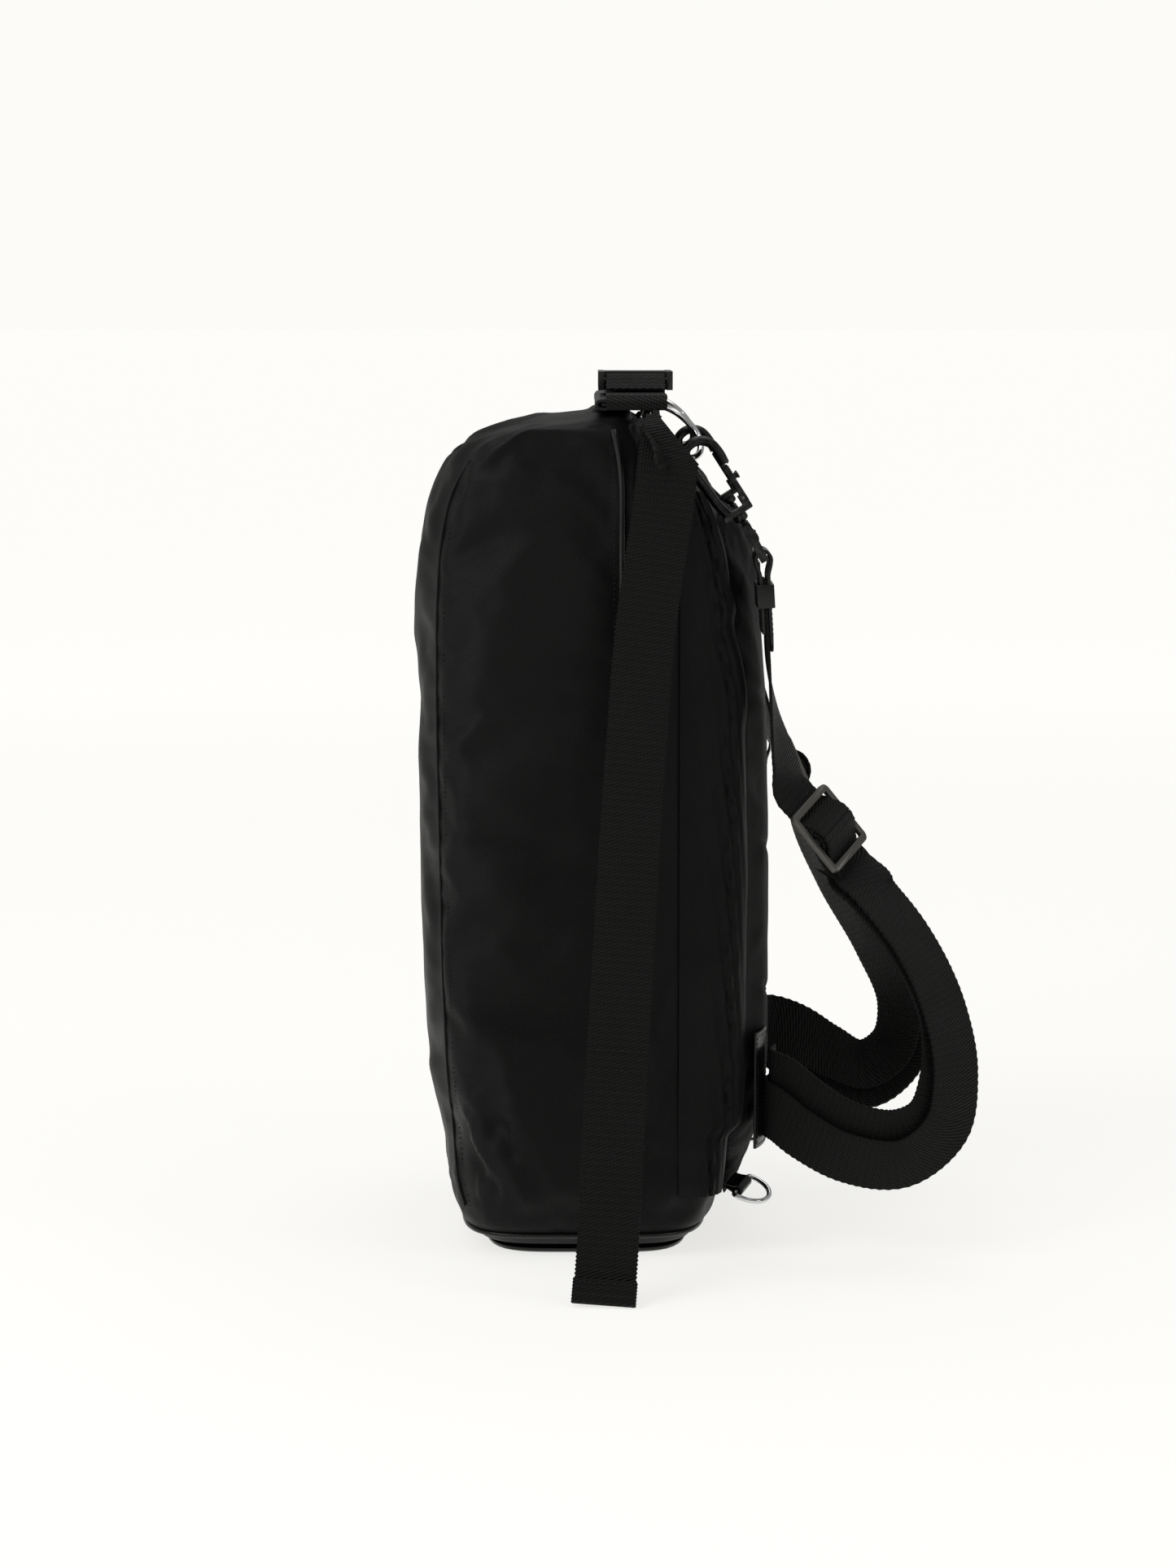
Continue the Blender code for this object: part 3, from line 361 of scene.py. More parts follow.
class Route:
    # evenly measured line with a width direction and a facing direction along it
    def __init__(self, points, wides=None, closed=False):
        self.path = smoothLine(points, 10, closed)
        if closed:
            self.path.append(self.path[0].copy())
        if wides is None:
            wides = self.carried()
        else:
            wides = wides if isinstance(wides, list) else [wides] * len(points)
            wides = smoothLine(wides, 10, closed, spansOf(points, closed))
            if closed:
                wides.append(wides[0].copy())
        self.wides = wides
        self.marks = [0.0]
        for a, b in zip(self.path, self.path[1:]):
            self.marks.append(self.marks[-1] + (b - a).length)
        self.length = self.marks[-1]

    def carried(self):
        side = (self.path[1] - self.path[0]).orthogonal().normalized()
        out = []
        for i in range(len(self.path)):
            t = (self.path[min(i + 1, len(self.path) - 1)] - self.path[max(i - 1, 0)]).normalized()
            side = (side - t * side.dot(t)).normalized()
            out.append(side.copy())
        return out

    def at(self, s):
        s = min(max(s, 0.0), self.length)
        low, high = 0, len(self.marks) - 1
        while high - low > 1:
            mid = (low + high) // 2
            if self.marks[mid] <= s:
                low = mid
            else:
                high = mid
        f = (s - self.marks[low]) / max(self.marks[high] - self.marks[low], 1e-9)
        p = self.path[low].lerp(self.path[high], f)
        before, after = self.path[max(low - 1, 0)], self.path[min(high + 1, len(self.path) - 1)]
        t = (self.path[high] - before).normalized().lerp((after - self.path[low]).normalized(),
                                                         f).normalized()
        w = self.wides[low].lerp(self.wides[high], f)
        w = (w - t * w.dot(t)).normalized()
        return p, t, w, t.cross(w)


def gridMesh(columns, rows, place, uvSize=(1.0, 1.0)):
    bm = bmesh.new()
    layer = bm.loops.layers.uv.new("weave")
    bmesh.ops.create_grid(bm, x_segments=columns, y_segments=rows, size=0.5, calc_uvs=True)
    for face in bm.faces:
        for loop in face.loops:
            loop[layer].uv = ((loop.vert.co.x + 0.5) * uvSize[0], (loop.vert.co.y + 0.5) * uvSize[1])
    for vert in bm.verts:
        vert.co = place(vert.co.x + 0.5, vert.co.y + 0.5)
    return bm


def closeUp(bm, fill=True):
    bmesh.ops.remove_doubles(bm, verts=bm.verts, dist=1e-6)
    if fill:
        rim = [e for e in bm.edges if e.is_boundary]
        if rim:
            bmesh.ops.holes_fill(bm, edges=rim, sides=0)
    bmesh.ops.recalc_face_normals(bm, faces=bm.faces)
    return bm


def objectOf(name, bm):
    mesh = bpy.data.meshes.new(name)
    bm.to_mesh(mesh)
    bm.free()
    obj = bpy.data.objects.new(name, mesh)
    scene.collection.objects.link(obj)
    return obj


def smoothed(obj):
    # the object gives way to a finer mesh of itself
    mod = obj.modifiers.new("smooth", "SUBSURF")
    mod.levels = mod.render_levels = 1
    bake(obj)
    bm = bmesh.new()
    bm.from_mesh(obj.data)
    bpy.data.objects.remove(obj)
    bm.normal_update()
    return bm


def treeOf(obj):
    return BVHTree.FromPolygons([v.co.copy() for v in obj.data.vertices],
                                [tuple(p.vertices) for p in obj.data.polygons])


def piece(name, bm, material, body=None, replaces=(), modifiers=(), turn=40):
    obj = objectOf(name, bm)
    obj.data.materials.append(materials[material])
    for kind, settings in modifiers:
        mod = obj.modifiers.new(kind.lower(), kind)
        for key, value in settings.items():
            setattr(mod, key, value)
    if modifiers:
        bake(obj)
    obj.data.shade_smooth()
    obj.data.set_sharp_from_angle(angle=radians(turn))
    if replaces:
        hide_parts(*replaces)
    if body:
        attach(obj, body)
    return obj


def bake(obj):
    bpy.context.view_layer.update()
    made = bpy.data.meshes.new_from_object(obj.evaluated_get(bpy.context.evaluated_depsgraph_get()))
    obj.modifiers.clear()
    obj.data = made


def solidify(thick, offset=0.0):
    return ("SOLIDIFY", {"thickness": thick, "offset": offset, "use_even_offset": True})


def softEdge(width, segments=2, angle=40):
    return ("BEVEL", {"width": width, "segments": segments, "limit_method": "ANGLE",
                      "angle_limit": radians(angle), "harden_normals": False})


def strapMesh(route, width, gap=0.0030, across=8, teeth=0.00022, start=0.0, end=None):
    # flat strap along a route; teeth is how far the woven edge steps in and out
    end = route.length if end is None else end
    count = max(2, round((end - start) / gap))

    def place(u, v):
        s = start + (end - start) * u
        p, w = route.at(s)[::2]
        q = 2 * v - 1
        step = round(u * count) % 2
        half = width / 2 + (teeth if step else -teeth) * (abs(q) > 0.99)
        return p + w * (q * half)

    bm = gridMesh(count, across, place, (end - start, width))
    layer = bm.loops.layers.uv.active
    for face in bm.faces:
        for loop in face.loops:
            loop[layer].uv.x += start
    return bm


def strap(name, route, width, thick, material, body=None, replaces=(), rim=0.3, **shape):
    bm = strapMesh(route, width, **shape)
    return piece(name, bm, material, body, replaces, [solidify(thick), softEdge(thick * rim, 2, 60)])


def tubeMesh(route, radius, around=12, gap=0.002, closed=False, flat=1.0):
    count = max(8, round(route.length / gap))

    def place(u, v):
        p, _, w, n = route.at(0.0 if closed and u > 0.9999 else route.length * u)
        a = 2 * pi * v
        r = radius(u) if callable(radius) else radius
        return p + w * (cos(a) * r) + n * (sin(a) * r * flat)

    bm = gridMesh(count, around, place, (route.length, 2 * pi * 0.002))
    return closeUp(bm)


def joinBm(target, source):
    mesh = bpy.data.meshes.new("join")
    source.to_mesh(mesh)
    source.free()
    target.from_mesh(mesh)
    bpy.data.meshes.remove(mesh)
    return target


def turned(profile, matrix, around=32):
    # profile of (along, radius) spun round the local X axis
    bm = bmesh.new()
    verts = [bm.verts.new((a, r, 0)) for a, r in profile]
    edges = [bm.edges.new(pair) for pair in zip(verts, verts[1:])]
    bmesh.ops.spin(bm, geom=verts + edges, cent=(0, 0, 0), axis=(1, 0, 0), angle=2 * pi, steps=around,
                   use_merge=True)
    closeUp(bm)
    bmesh.ops.transform(bm, matrix=matrix, verts=bm.verts)
    bmesh.ops.recalc_face_normals(bm, faces=bm.faces)
    return bm


def roundedBlock(centre, size, matrix=None, soft=0.0006, segments=3):
    bm = bmesh.new()
    bmesh.ops.create_cube(bm, size=1.0)
    bmesh.ops.scale(bm, vec=size, verts=bm.verts)
    bmesh.ops.bevel(bm, geom=list(bm.edges), offset=soft, offset_type="OFFSET", segments=segments,
                    profile=0.5, affect="EDGES", clamp_overlap=True, material=-1)
    bmesh.ops.translate(bm, vec=centre, verts=bm.verts)
    if matrix is not None:
        bmesh.ops.transform(bm, matrix=matrix, verts=bm.verts)
    return bm


def refined(name, nodeName, material, body, soft, segments=3, turn=30, corner=None):
    # a copy of the plain solid, merged, with its edges rounded
    bm = bmesh.new()
    bm.from_mesh(nodes[nodeName].data)
    bmesh.ops.remove_doubles(bm, verts=bm.verts, dist=0.00002)
    bmesh.ops.dissolve_limit(bm, angle_limit=radians(3), verts=bm.verts, edges=bm.edges)
    if corner:
        axis, size = corner
        edges = [e for e in bm.edges if len(e.link_faces) == 2 and e.calc_face_angle(0) > 1.2 and e.is_convex
                 and abs((e.verts[0].co - e.verts[1].co).normalized().dot(axis)) > 0.99]
        bmesh.ops.bevel(bm, geom=edges, offset=size, offset_type="OFFSET", segments=5, profile=0.5,
                        affect="EDGES", clamp_overlap=True, material=-1)
    edges = [e for e in bm.edges if len(e.link_faces) == 2 and e.calc_face_angle(0) > radians(turn)]
    bmesh.ops.bevel(bm, geom=edges, offset=soft, offset_type="OFFSET", segments=segments, profile=0.5,
                    affect="EDGES", clamp_overlap=True, material=-1)
    return piece(name, bm, material, body, [nodeName])


threadLook = {"lift": 0.00115, "half": 0.0165, "tailHalf": 0.0170}


def stitches(bm, line, up, pitch=0.0032, size=(0.0021, 0.0007, 0.0006)):
    # short threads laid end to end along a line of points
    route = Route([Vector(p) for p in line])
    count = max(1, int(route.length / pitch))
    for k in range(count):
        p, t = route.at((k + 0.5) * route.length / count)[:2]
        facing = Vector(up(p) if callable(up) else up)
        side = t.cross(facing).normalized()
        turn = Matrix.Translation(p) @ Matrix((t, side, t.cross(side))).transposed().to_4x4()
        made = bmesh.ops.create_icosphere(bm, subdivisions=1, radius=0.5)["verts"]
        bmesh.ops.scale(bm, vec=size, verts=made)
        bmesh.ops.transform(bm, matrix=turn, verts=made)
    return bm


def stitchStrap(bm, route, offsets, start, end, lift, **kind):
    # rows of stitches along a strap, at shares of its width
    for q in offsets:
        line = []
        steps = max(2, int((end - start) / 0.004))
        for k in range(steps + 1):
            p, _, w, n = route.at(start + (end - start) * k / steps)
            line.append(p + w * q + n * lift)
        stitches(bm, line, route.at((start + end) / 2)[3] * copysign(1, lift), **kind)


def stitchAcross(bm, route, s, half, lift, **kind):
    p, _, w, n = route.at(s)
    stitches(bm, [p - w * half + n * lift, p + n * lift, p + w * half + n * lift], n * copysign(1, lift),
             **kind)


def axes(origin, x, y, z):
    return Matrix.Translation(origin) @ Matrix((x, y, z)).transposed().to_4x4()


# the bag's own form, the same as the plain solids'
bag = dict(height=0.538, halfWidth=0.140, halfDepth=0.097, middle=-0.009, floor=0.0038, mouthTop=0.543,
           mouthX=0.01525, buckleX=0.03075, strapY=0.100, backX=0.117, rollZ=0.5468, rollTop=0.5503,
           padThick=0.029, webbing=0.038, thick=0.0020)
sides = (("near", -1), ("far", 1))
rise = [(0.000, -0.62, 0.78, 0.82), (0.020, -0.74, 0.86, 0.90), (0.060, -0.85, 0.93, 0.95),
        (0.120, -0.90, 0.97, 0.98), (0.200, -0.935, 1.00, 1.00), (0.300, -0.960, 1.00, 1.00),
        (0.500, -0.985, 1.00, 1.00), (0.700, -1.000, 1.00, 1.00), (0.800, -0.990, 0.98, 0.99),
        (0.862, -0.960, 0.92, 0.97), (0.918, -0.880, 0.78, 0.95), (0.950, -0.780, 0.64, 0.93),
        (0.976, -0.620, 0.52, 0.92), (0.990, -0.380, 0.47, 0.90), (1.000, 0.125, 0.375, 0.84)]
riseLine = smoothLine([(row[1], row[2], row[3]) for row in rise], 8,
                      spans=[b[0] - a[0] for a, b in zip(rise, rise[1:])])
riseMarks = []
for rowA, rowB in zip(rise, rise[1:]):
    riseMarks += [rowA[0] + (rowB[0] - rowA[0]) * k / 8 for k in range(8)]
riseMarks.append(1.0)


def shellLimits(z):
    share = min(max((z - bag["floor"]) / (bag["height"] - bag["floor"]), 0.0), 1.0)
    k = 0
    while k < len(riseMarks) - 2 and riseMarks[k + 1] < share:
        k += 1
    f = (share - riseMarks[k]) / (riseMarks[k + 1] - riseMarks[k])
    front, back, half = riseLine[k].lerp(riseLine[k + 1], min(max(f, 0), 1))
    return (bag["middle"] + front * bag["halfDepth"], bag["middle"] + back * bag["halfDepth"],
            half * bag["halfWidth"])


def ringPoint(turnShare, z, power=5.0, grow=0.0):
    front, back, half = shellLimits(z)
    mid, reach = (front + back) / 2, (back - front) / 2 + grow
    half += grow
    a = 2 * pi * turnShare
    # even steps round the rounded rectangle
    c, s = cos(a), sin(a)
    r = (abs(c) ** power + abs(s) ** power) ** (-1 / power)
    return Vector((mid + reach * c * r, half * s * r, z))


def riseTable():
    # heights at even steps along the wall, so the roof gets as many rows as the sides
    heights = [bag["floor"] + (bag["mouthTop"] - bag["floor"]) * k / 600 for k in range(601)]
    marks = [0.0]
    for a, b in zip(heights, heights[1:]):
        fa, ba = shellLimits(a)[:2]
        fb, bb = shellLimits(b)[:2]
        marks.append(marks[-1] + (b - a) + 0.6 * abs(fb - fa) + 0.3 * abs(bb - ba))
    return heights, [m / marks[-1] for m in marks]


wallHeights, wallMarks = riseTable()


def wallHeight(v):
    k = 0
    while k < len(wallMarks) - 2 and wallMarks[k + 1] < v:
        k += 1
    f = (v - wallMarks[k]) / (wallMarks[k + 1] - wallMarks[k])
    return wallHeights[k] + (wallHeights[k + 1] - wallHeights[k]) * min(max(f, 0), 1)


# cloth
def clothSwell(obj, cap, pressure, slack, pinned=None, frames=20):
    # the fabric relaxes under a little air pressure, and no point moves further than the cap
    rest = [v.co.copy() for v in obj.data.vertices]
    mod = obj.modifiers.new("cloth", "CLOTH")
    cloth = mod.settings
    cloth.quality = 5
    cloth.mass = 0.25
    cloth.tension_stiffness = 12
    cloth.compression_stiffness = 12
    cloth.shear_stiffness = 4
    cloth.bending_stiffness = 0.06
    cloth.use_pressure = True
    cloth.uniform_pressure_force = pressure
    cloth.shrink_min = -slack
    cloth.effector_weights.gravity = 0
    if pinned:
        group = obj.vertex_groups.new(name="pinned")
        for k, co in enumerate(rest):
            weight = pinned(co)
            if weight > 0:
                group.add([k], weight, "REPLACE")
        cloth.vertex_group_mass = "pinned"
    mod.point_cache.frame_start = 1
    mod.point_cache.frame_end = frames
    for k in range(1, frames + 1):
        scene.frame_set(k)
    bake(obj)
    scene.frame_set(1)
    for vert, old in zip(obj.data.vertices, rest):
        move = vert.co - old
        if move.length > cap:
            vert.co = old + move * (cap / move.length)


def bell(distance, width):
    return exp(-(distance / width) ** 2)


def lineDistance(x, z, a, b):
    ax, az, bx, bz = *a, *b
    t = min(max(((x - ax) * (bx - ax) + (z - az) * (bz - az)) / ((bx - ax) ** 2 + (bz - az) ** 2), 0), 1)
    return ((x - ax - (bx - ax) * t) ** 2 + (z - az - (bz - az) * t) ** 2) ** 0.5


shellLook = {
    "around": 132, "up": 88, "slack": 0.035, "pressure": 1.2, "cap": 0.0050,
    "seamInset": 0.010, "pipeX": 0.02125,
    # soft folds on the sides: start, end, width, height
    "folds": [((-0.078, 0.105), (-0.040, 0.042), 0.0065, 0.0022),
              ((-0.060, 0.125), (-0.018, 0.048), 0.0090, 0.0020),
              ((0.078, 0.160), (0.028, 0.036), 0.0080, -0.0034),
              ((0.082, 0.110), (0.046, 0.030), 0.0065, 0.0030),
              ((0.060, 0.190), (0.022, 0.090), 0.0075, 0.0022),
              ((0.083, 0.340), (0.072, 0.235), 0.0060, 0.0022),
              ((-0.070, 0.330), (-0.022, 0.370), 0.0220, -0.0036),
              ((-0.030, 0.495), (0.004, 0.470), 0.0150, -0.0034),
              ((-0.020, 0.300), (-0.035, 0.140), 0.0200, -0.0020),
              ((-0.060, 0.250), (-0.010, 0.215), 0.0140, 0.0022),
              ((0.045, 0.450), (0.070, 0.400), 0.0120, 0.0022),
              ((-0.075, 0.420), (-0.040, 0.455), 0.0100, 0.0018)],
    "frontFolds": [((-0.090, 0.120), (-0.030, 0.050), 0.0100, 0.0024),
                   ((0.095, 0.150), (0.035, 0.060), 0.0110, 0.0022),
                   ((-0.060, 0.350), (0.050, 0.310), 0.0200, -0.0030),
                   ((0.080, 0.450), (0.010, 0.400), 0.0160, 0.0022),
                   ((-0.100, 0.470), (-0.060, 0.400), 0.0120, 0.0020)],
}


def shellPinned(co):
    if co.z < 0.020 or co.z > 0.534:
        return 1.0
    front, half = shellLimits(co.z)[::2]
    if abs(co.y) > half * 0.80 and abs(co.x - shellLook["pipeX"]) < 0.0045:
        return 1.0
    if abs(co.y) > half * 0.80 and abs(co.x - front - shellLook["seamInset"]) < 0.004:
        return 0.9
    return 0.0


def makeShell():
    def place(u, v):
        return ringPoint(u, wallHeight(v))

    bm = gridMesh(shellLook["around"], shellLook["up"], place)
    closeUp(bm)
    obj = objectOf("shell_fabric", bm)
    clothSwell(obj, shellLook["cap"], shellLook["pressure"], shellLook["slack"], shellPinned)
    bm = smoothed(obj)
    moves = {}
    for vert in bm.verts:
        co, normal = vert.co, vert.normal
        held = min(max((co.z - 0.016) / 0.02, 0), 1) * min(max((0.534 - co.z) / 0.02, 0), 1)
        shift = 0.0
        if abs(normal.y) > 0.35:
            for a, b, width, height in shellLook["folds"]:
                shift += height * bell(lineDistance(co.x, co.z, a, b),
                                       width) * min((abs(normal.y) - 0.35) * 3, 1)
            seam = min(abs(co.x - shellLook["pipeX"]) / 0.008, 1)
            shift *= seam
            gather = bell(co.x - 0.040, 0.017) * min(max((co.z - 0.455) / 0.05, 0), 1) * seam
            shift += 0.0024 * gather * sin(co.x * 2 * pi / 0.0095 + 3 * co.z)
        if normal.x < -0.35:
            for a, b, width, height in shellLook["frontFolds"]:
                edge = min(max((0.118 - abs(co.y)) / 0.03, 0), 1)
                shift += height * edge * bell(lineDistance(co.y, co.z, a, b),
                                              width) * min((-normal.x - 0.35) * 3, 1)
        if normal.x < -0.3:
            # the cloth pulls in towards the foot
            shift -= 0.0085 * bell(co.z - 0.070, 0.045) * min((-normal.x - 0.3) * 3, 1)
        if normal.x > 0.1 and abs(co.y) < 0.086:
            shift += 0.0060 * bell(co.z - 0.488, 0.022) * min(1, (0.086 - abs(co.y)) / 0.025)
        if normal.z > 0.3 and co.z > 0.49:
            shift += 0.0013 * sin(co.y * 2 * pi / 0.021 + 14 * co.x) * min((normal.z - 0.3) * 2, 1)
        shift += 0.0008 * noise.noise(co * 22.0) + 0.0004 * noise.noise(co * 60.0)
        moves[vert.index] = normal * (shift * held)
    for vert in bm.verts:
        vert.co += moves[vert.index]
    return piece("shell_fabric", bm, "bag twill", "bag", ["main_shell"], turn=70)


makeStudio()
floorMesh = bmesh.new()
bmesh.ops.create_grid(floorMesh, x_segments=1, y_segments=1, size=60.0)
floorData = bpy.data.meshes.new("floor")
floorMesh.to_mesh(floorData)
floorData.materials.append(floorMaterial())
floorObject = bpy.data.objects.new("floor", floorData)
scene.collection.objects.link(floorObject)

shell = makeShell()
shellTree = treeOf(shell)
print("shell made")


def onSide(x, z, side, lift=0.0):
    hit = shellTree.ray_cast(Vector((x, side * 0.4, z)), Vector((0, -side, 0)))[0]
    return Vector((x, hit.y + side * lift, z))


pipingLook = {"low": 0.0335, "high": 0.5315, "radius": 0.0021, "lift": 0.0013, "lean": 0.0055,
              "leanFrom": 0.490, "leanOver": 0.042, "stitchGap": 0.0046}


def sideSeam(side, tag):
    look = pipingLook
    thread = bmesh.new()
    heights = [look["low"] + (look["high"] - look["low"]) * k / 40 for k in range(41)]
    # the cord leans forward as it nears the top
    spots = [(shellLook["pipeX"] - look["lean"] * (max(z - look["leanFrom"], 0) / look["leanOver"]) ** 2, z)
             for z in heights]
    line = [onSide(x, z, side, look["lift"]) for x, z in spots]
    piece("side_piping_cord_" + tag, tubeMesh(Route(line), look["radius"], 12, 0.003), "cord leather",
          "bag", ["side_piping_" + tag])
    stitches(thread, [onSide(x - look["stitchGap"], z, side, 0.0001) for x, z in spots], (0, side, 0),
             pitch=0.0034)
    ridge = []
    for k in range(37):
        z = 0.030 + (0.512 - 0.030) * k / 36
        ridge.append(onSide(shellLimits(z)[0] + shellLook["seamInset"], z, side, 0.0002))
    welt = tubeMesh(Route(ridge), 0.0011, 8, 0.004)
    piece("ridge_seam_" + tag, welt, "bag twill", "bag")
    stitches(thread, [onSide(p.x + 0.0040, p.z, side, 0.0001) for p in ridge], (0, side, 0), pitch=0.0034)
    piece("side_stitching_" + tag, thread, "thread", "bag")


baseLook = {"pipingZ": 0.01456, "pipingOut": 0.0013, "radius": 0.0017}


def makeBase():
    ring = []
    for k in range(64):
        p = ringPoint(k / 64, baseLook["pipingZ"])
        hit = shellTree.find_nearest(p)[0]
        out = Vector((p.x + 0.009, p.y, 0)).normalized()
        ring.append(Vector((hit.x, hit.y, p.z)) + out * baseLook["pipingOut"])
    piece("base_piping_cord", tubeMesh(Route(ring, closed=True), baseLook["radius"], 10, 0.004,
                                       closed=True), "black leather",
          "bag", ["base_piping"])
    panel = bmesh.new()
    circle = bmesh.ops.create_circle(panel, cap_ends=True, segments=96, radius=1.0)["verts"]
    for k, vert in enumerate(circle):
        p = ringPoint(k / 96, bag["floor"], grow=-0.0035)
        vert.co = Vector((p.x, p.y, 0.0))
    bmesh.ops.recalc_face_normals(panel, faces=panel.faces)
    for height, grow in ((0.0012, 0.0026), (0.0022, 0.0009)):
        rim = [e for e in panel.edges if e.is_boundary]
        made = bmesh.ops.extrude_edge_only(panel, edges=rim)["geom"]
        for vert in (g for g in made if isinstance(g, bmesh.types.BMVert)):
            out = Vector((vert.co.x + 0.0015, vert.co.y, 0)).normalized()
            vert.co += out * grow + Vector((0, 0, height))
    closeUp(panel)
    piece("base_leather", panel, "black leather", "bag", ["base_panel"], [softEdge(0.0004, 2, 20)])
    nodes["base_stiffener"].data.materials[0] = materials["stiff board"]


padLook = {"voxel": 0.005, "pressure": 4.0, "cap": 0.0035, "inset": 0.0020, "spine": 0.0045,
           "channels": (0.150, 0.245, 0.340)}


def makePad():
    bm = bmesh.new()
    bm.from_mesh(nodes["back_pad"].data)
    bmesh.ops.remove_doubles(bm, verts=bm.verts, dist=0.00002)
    bm.normal_update()
    moved = {v: v.co - v.normal * padLook["inset"] * (1 if v.normal.x > -0.5 else 0) for v in bm.verts}
    for vert, co in moved.items():
        vert.co = co
    obj = objectOf("pad start", bm)
    remesh = obj.modifiers.new("remesh", "REMESH")
    remesh.mode = "VOXEL"
    remesh.voxel_size = padLook["voxel"]
    bake(obj)
    clothSwell(obj, padLook["cap"], padLook["pressure"], 0.01,
               lambda co: 1.0 if co.x < (0.0905 if co.z < 0.43 else shellLimits(co.z)[1] + 0.004) else 0.0)
    bm = smoothed(obj)
    moves = {}
    for vert in bm.verts:
        co, normal = vert.co, vert.normal
        if normal.x > 0.1:
            depth = padLook["spine"] * bell(co.y, 0.007)
            for z in padLook["channels"]:
                fade = min(max((0.108 - abs(co.y)) / 0.03, 0), 1) * min(abs(co.y) / 0.02, 1)
                depth += 0.0018 * bell(co.z - z - 0.25 * abs(co.y), 0.0042) * fade
            # room for the keeper band to slide
            depth += 0.0028 * bell(co.z - 0.408, 0.022) * min(max((abs(co.y) - 0.055) / 0.02, 0), 1)
            crown = 0.0045 * bell(co.z - 0.470, 0.022) * min(max((0.082 - abs(co.y)) / 0.02, 0), 1)
            moves[vert.index] = normal * (crown - depth + 0.0004 * noise.noise(co * 40))
    for vert in bm.verts:
        vert.co += moves.get(vert.index, Vector())
        vert.co.x = max(vert.co.x, 0.0889 if vert.co.z < 0.425 else shellLimits(vert.co.z)[1] + 0.0004)
    pad = piece("padded_back", bm, "pad cloth", "bag", ["back_pad"], turn=80)
    tree = treeOf(pad)
    thread = bmesh.new()
    for z in padLook["channels"]:
        line = []
        for k in range(21):
            y = -0.090 + 0.180 * k / 20
            hit = tree.ray_cast(Vector((0.3, y, z + 0.25 * abs(y))), Vector((-1, 0, 0)))[0]
            if hit:
                line.append(hit + Vector((0.0002, 0, 0)))
        stitches(thread, line, (1, 0, 0))
    piece("pad_stitching", thread, "thread", "bag")
    return tree


for sideName, sideSign in sides:
    sideSeam(sideSign, sideName)
makeBase()
padTree = makePad()


gussetLook = {"low": 0.040, "height": 0.452, "padY": 0.110, "seamX": 0.058, "wave": 0.0012,
              "ripple": 0.0009}


def makeGusset(side, tag):
    # side wing that carries the shell's cloth round the edge of the pad
    look = gussetLook
    rows = []
    for k in range(61):
        z = look["low"] + look["height"] * k / 60
        hit = padTree.ray_cast(Vector((0.3, side * look["padY"], z)), Vector((-1, 0, 0)))[0]
        reach = max(hit.x if hit else 0.0, shellLimits(z)[1] + 0.0030)
        rows.append((onSide(min(look["seamX"], reach - 0.012), z, side, 0.0004),
                     Vector((reach + 0.0006, side * look["padY"], z))))

    def place(u, v):
        spot = min(u * 60, 59.999)
        low, part = int(spot), spot - int(spot)
        a, b = (rows[low][i].lerp(rows[low + 1][i], part) for i in (0, 1))
        turn = Vector((b.x - 0.002, a.y * 0.975, a.z))
        p = a * (1 - v) ** 2 + turn * (2 * v * (1 - v)) + b * v ** 2
        ripple = look["ripple"] * sin(p.z * 95 + 40 * v) * bell(v - 0.5, 0.3)
        wave = noise.noise(p * 26.0) * look["wave"] + ripple
        return p + Vector((0.4, side * 0.9, 0)) * (wave * min(v, 1 - v) * 4)

    piece("side_gusset_" + tag, gridMesh(150, 22, place, (look["height"], 0.06)), "bag twill", "bag", (),
          [solidify(0.0008, -1)], turn=80)


for sideName, sideSign in sides:
    makeGusset(sideSign, sideName)
print("seams, base and back pad made")


# rolled mouth and its buckle
rollLook = {"half": 0.0150, "shift": 0.0040, "pitch": 0.0026, "layer": 0.0018, "length": 0.2408,
            "pucker": 0.0005}


def makeRoll():
    p, layer = rollLook["pitch"], rollLook["layer"]
    u = rollLook["half"] - p - layer / 2
    inner = [(u - p / 2 + p / 2 * sin(a), p / 2 - p / 2 * cos(a)) for a in (pi * k / 4 for k in range(5))]
    outer = [(-u - p * sin(a), p * cos(a)) for a in (pi * k / 4 for k in range(5))]
    spiral = [(-u + 0.0010, 0), (-u / 2, 0), (u / 2, 0)] + inner + [(u / 2, p), (-u / 2, p)]
    spiral += outer + [(-u / 2, -p), (u / 2, -p), (u + 0.0010, -p)]
    route = Route([(bag["mouthX"] + rollLook["shift"] + x, 0, bag["rollZ"] + z) for x, z in spiral],
                  Vector((0, 1, 0)))
    bm = strapMesh(route, rollLook["length"], gap=0.0016, across=90, teeth=0.0)
    bm.normal_update()
    for vert in bm.verts:
        wave = noise.noise(Vector((vert.co.y * 60, vert.co.x * 30, vert.co.z * 80)))
        vert.co += vert.normal * (rollLook["pucker"] * wave)
    piece("rolled_mouth", bm, "lining twill", "bag", ["closure_roll"],
          [solidify(layer), softEdge(0.0005, 2, 60)])
    thread = bmesh.new()
    top = bag["rollTop"] + 0.0001
    for x in (-0.0085, 0.0085):
        line = [(bag["mouthX"] + rollLook["shift"] + x, -0.116 + 0.232 * k / 20, top) for k in range(21)]
        stitches(thread, line, (0, 0, 1), pitch=0.0036)
    piece("roll_stitching", thread, "thread", "bag")


buckleLook = {"barY": 0.0370, "barRadius": 0.0020, "z": 0.5601, "soft": 0.0010}


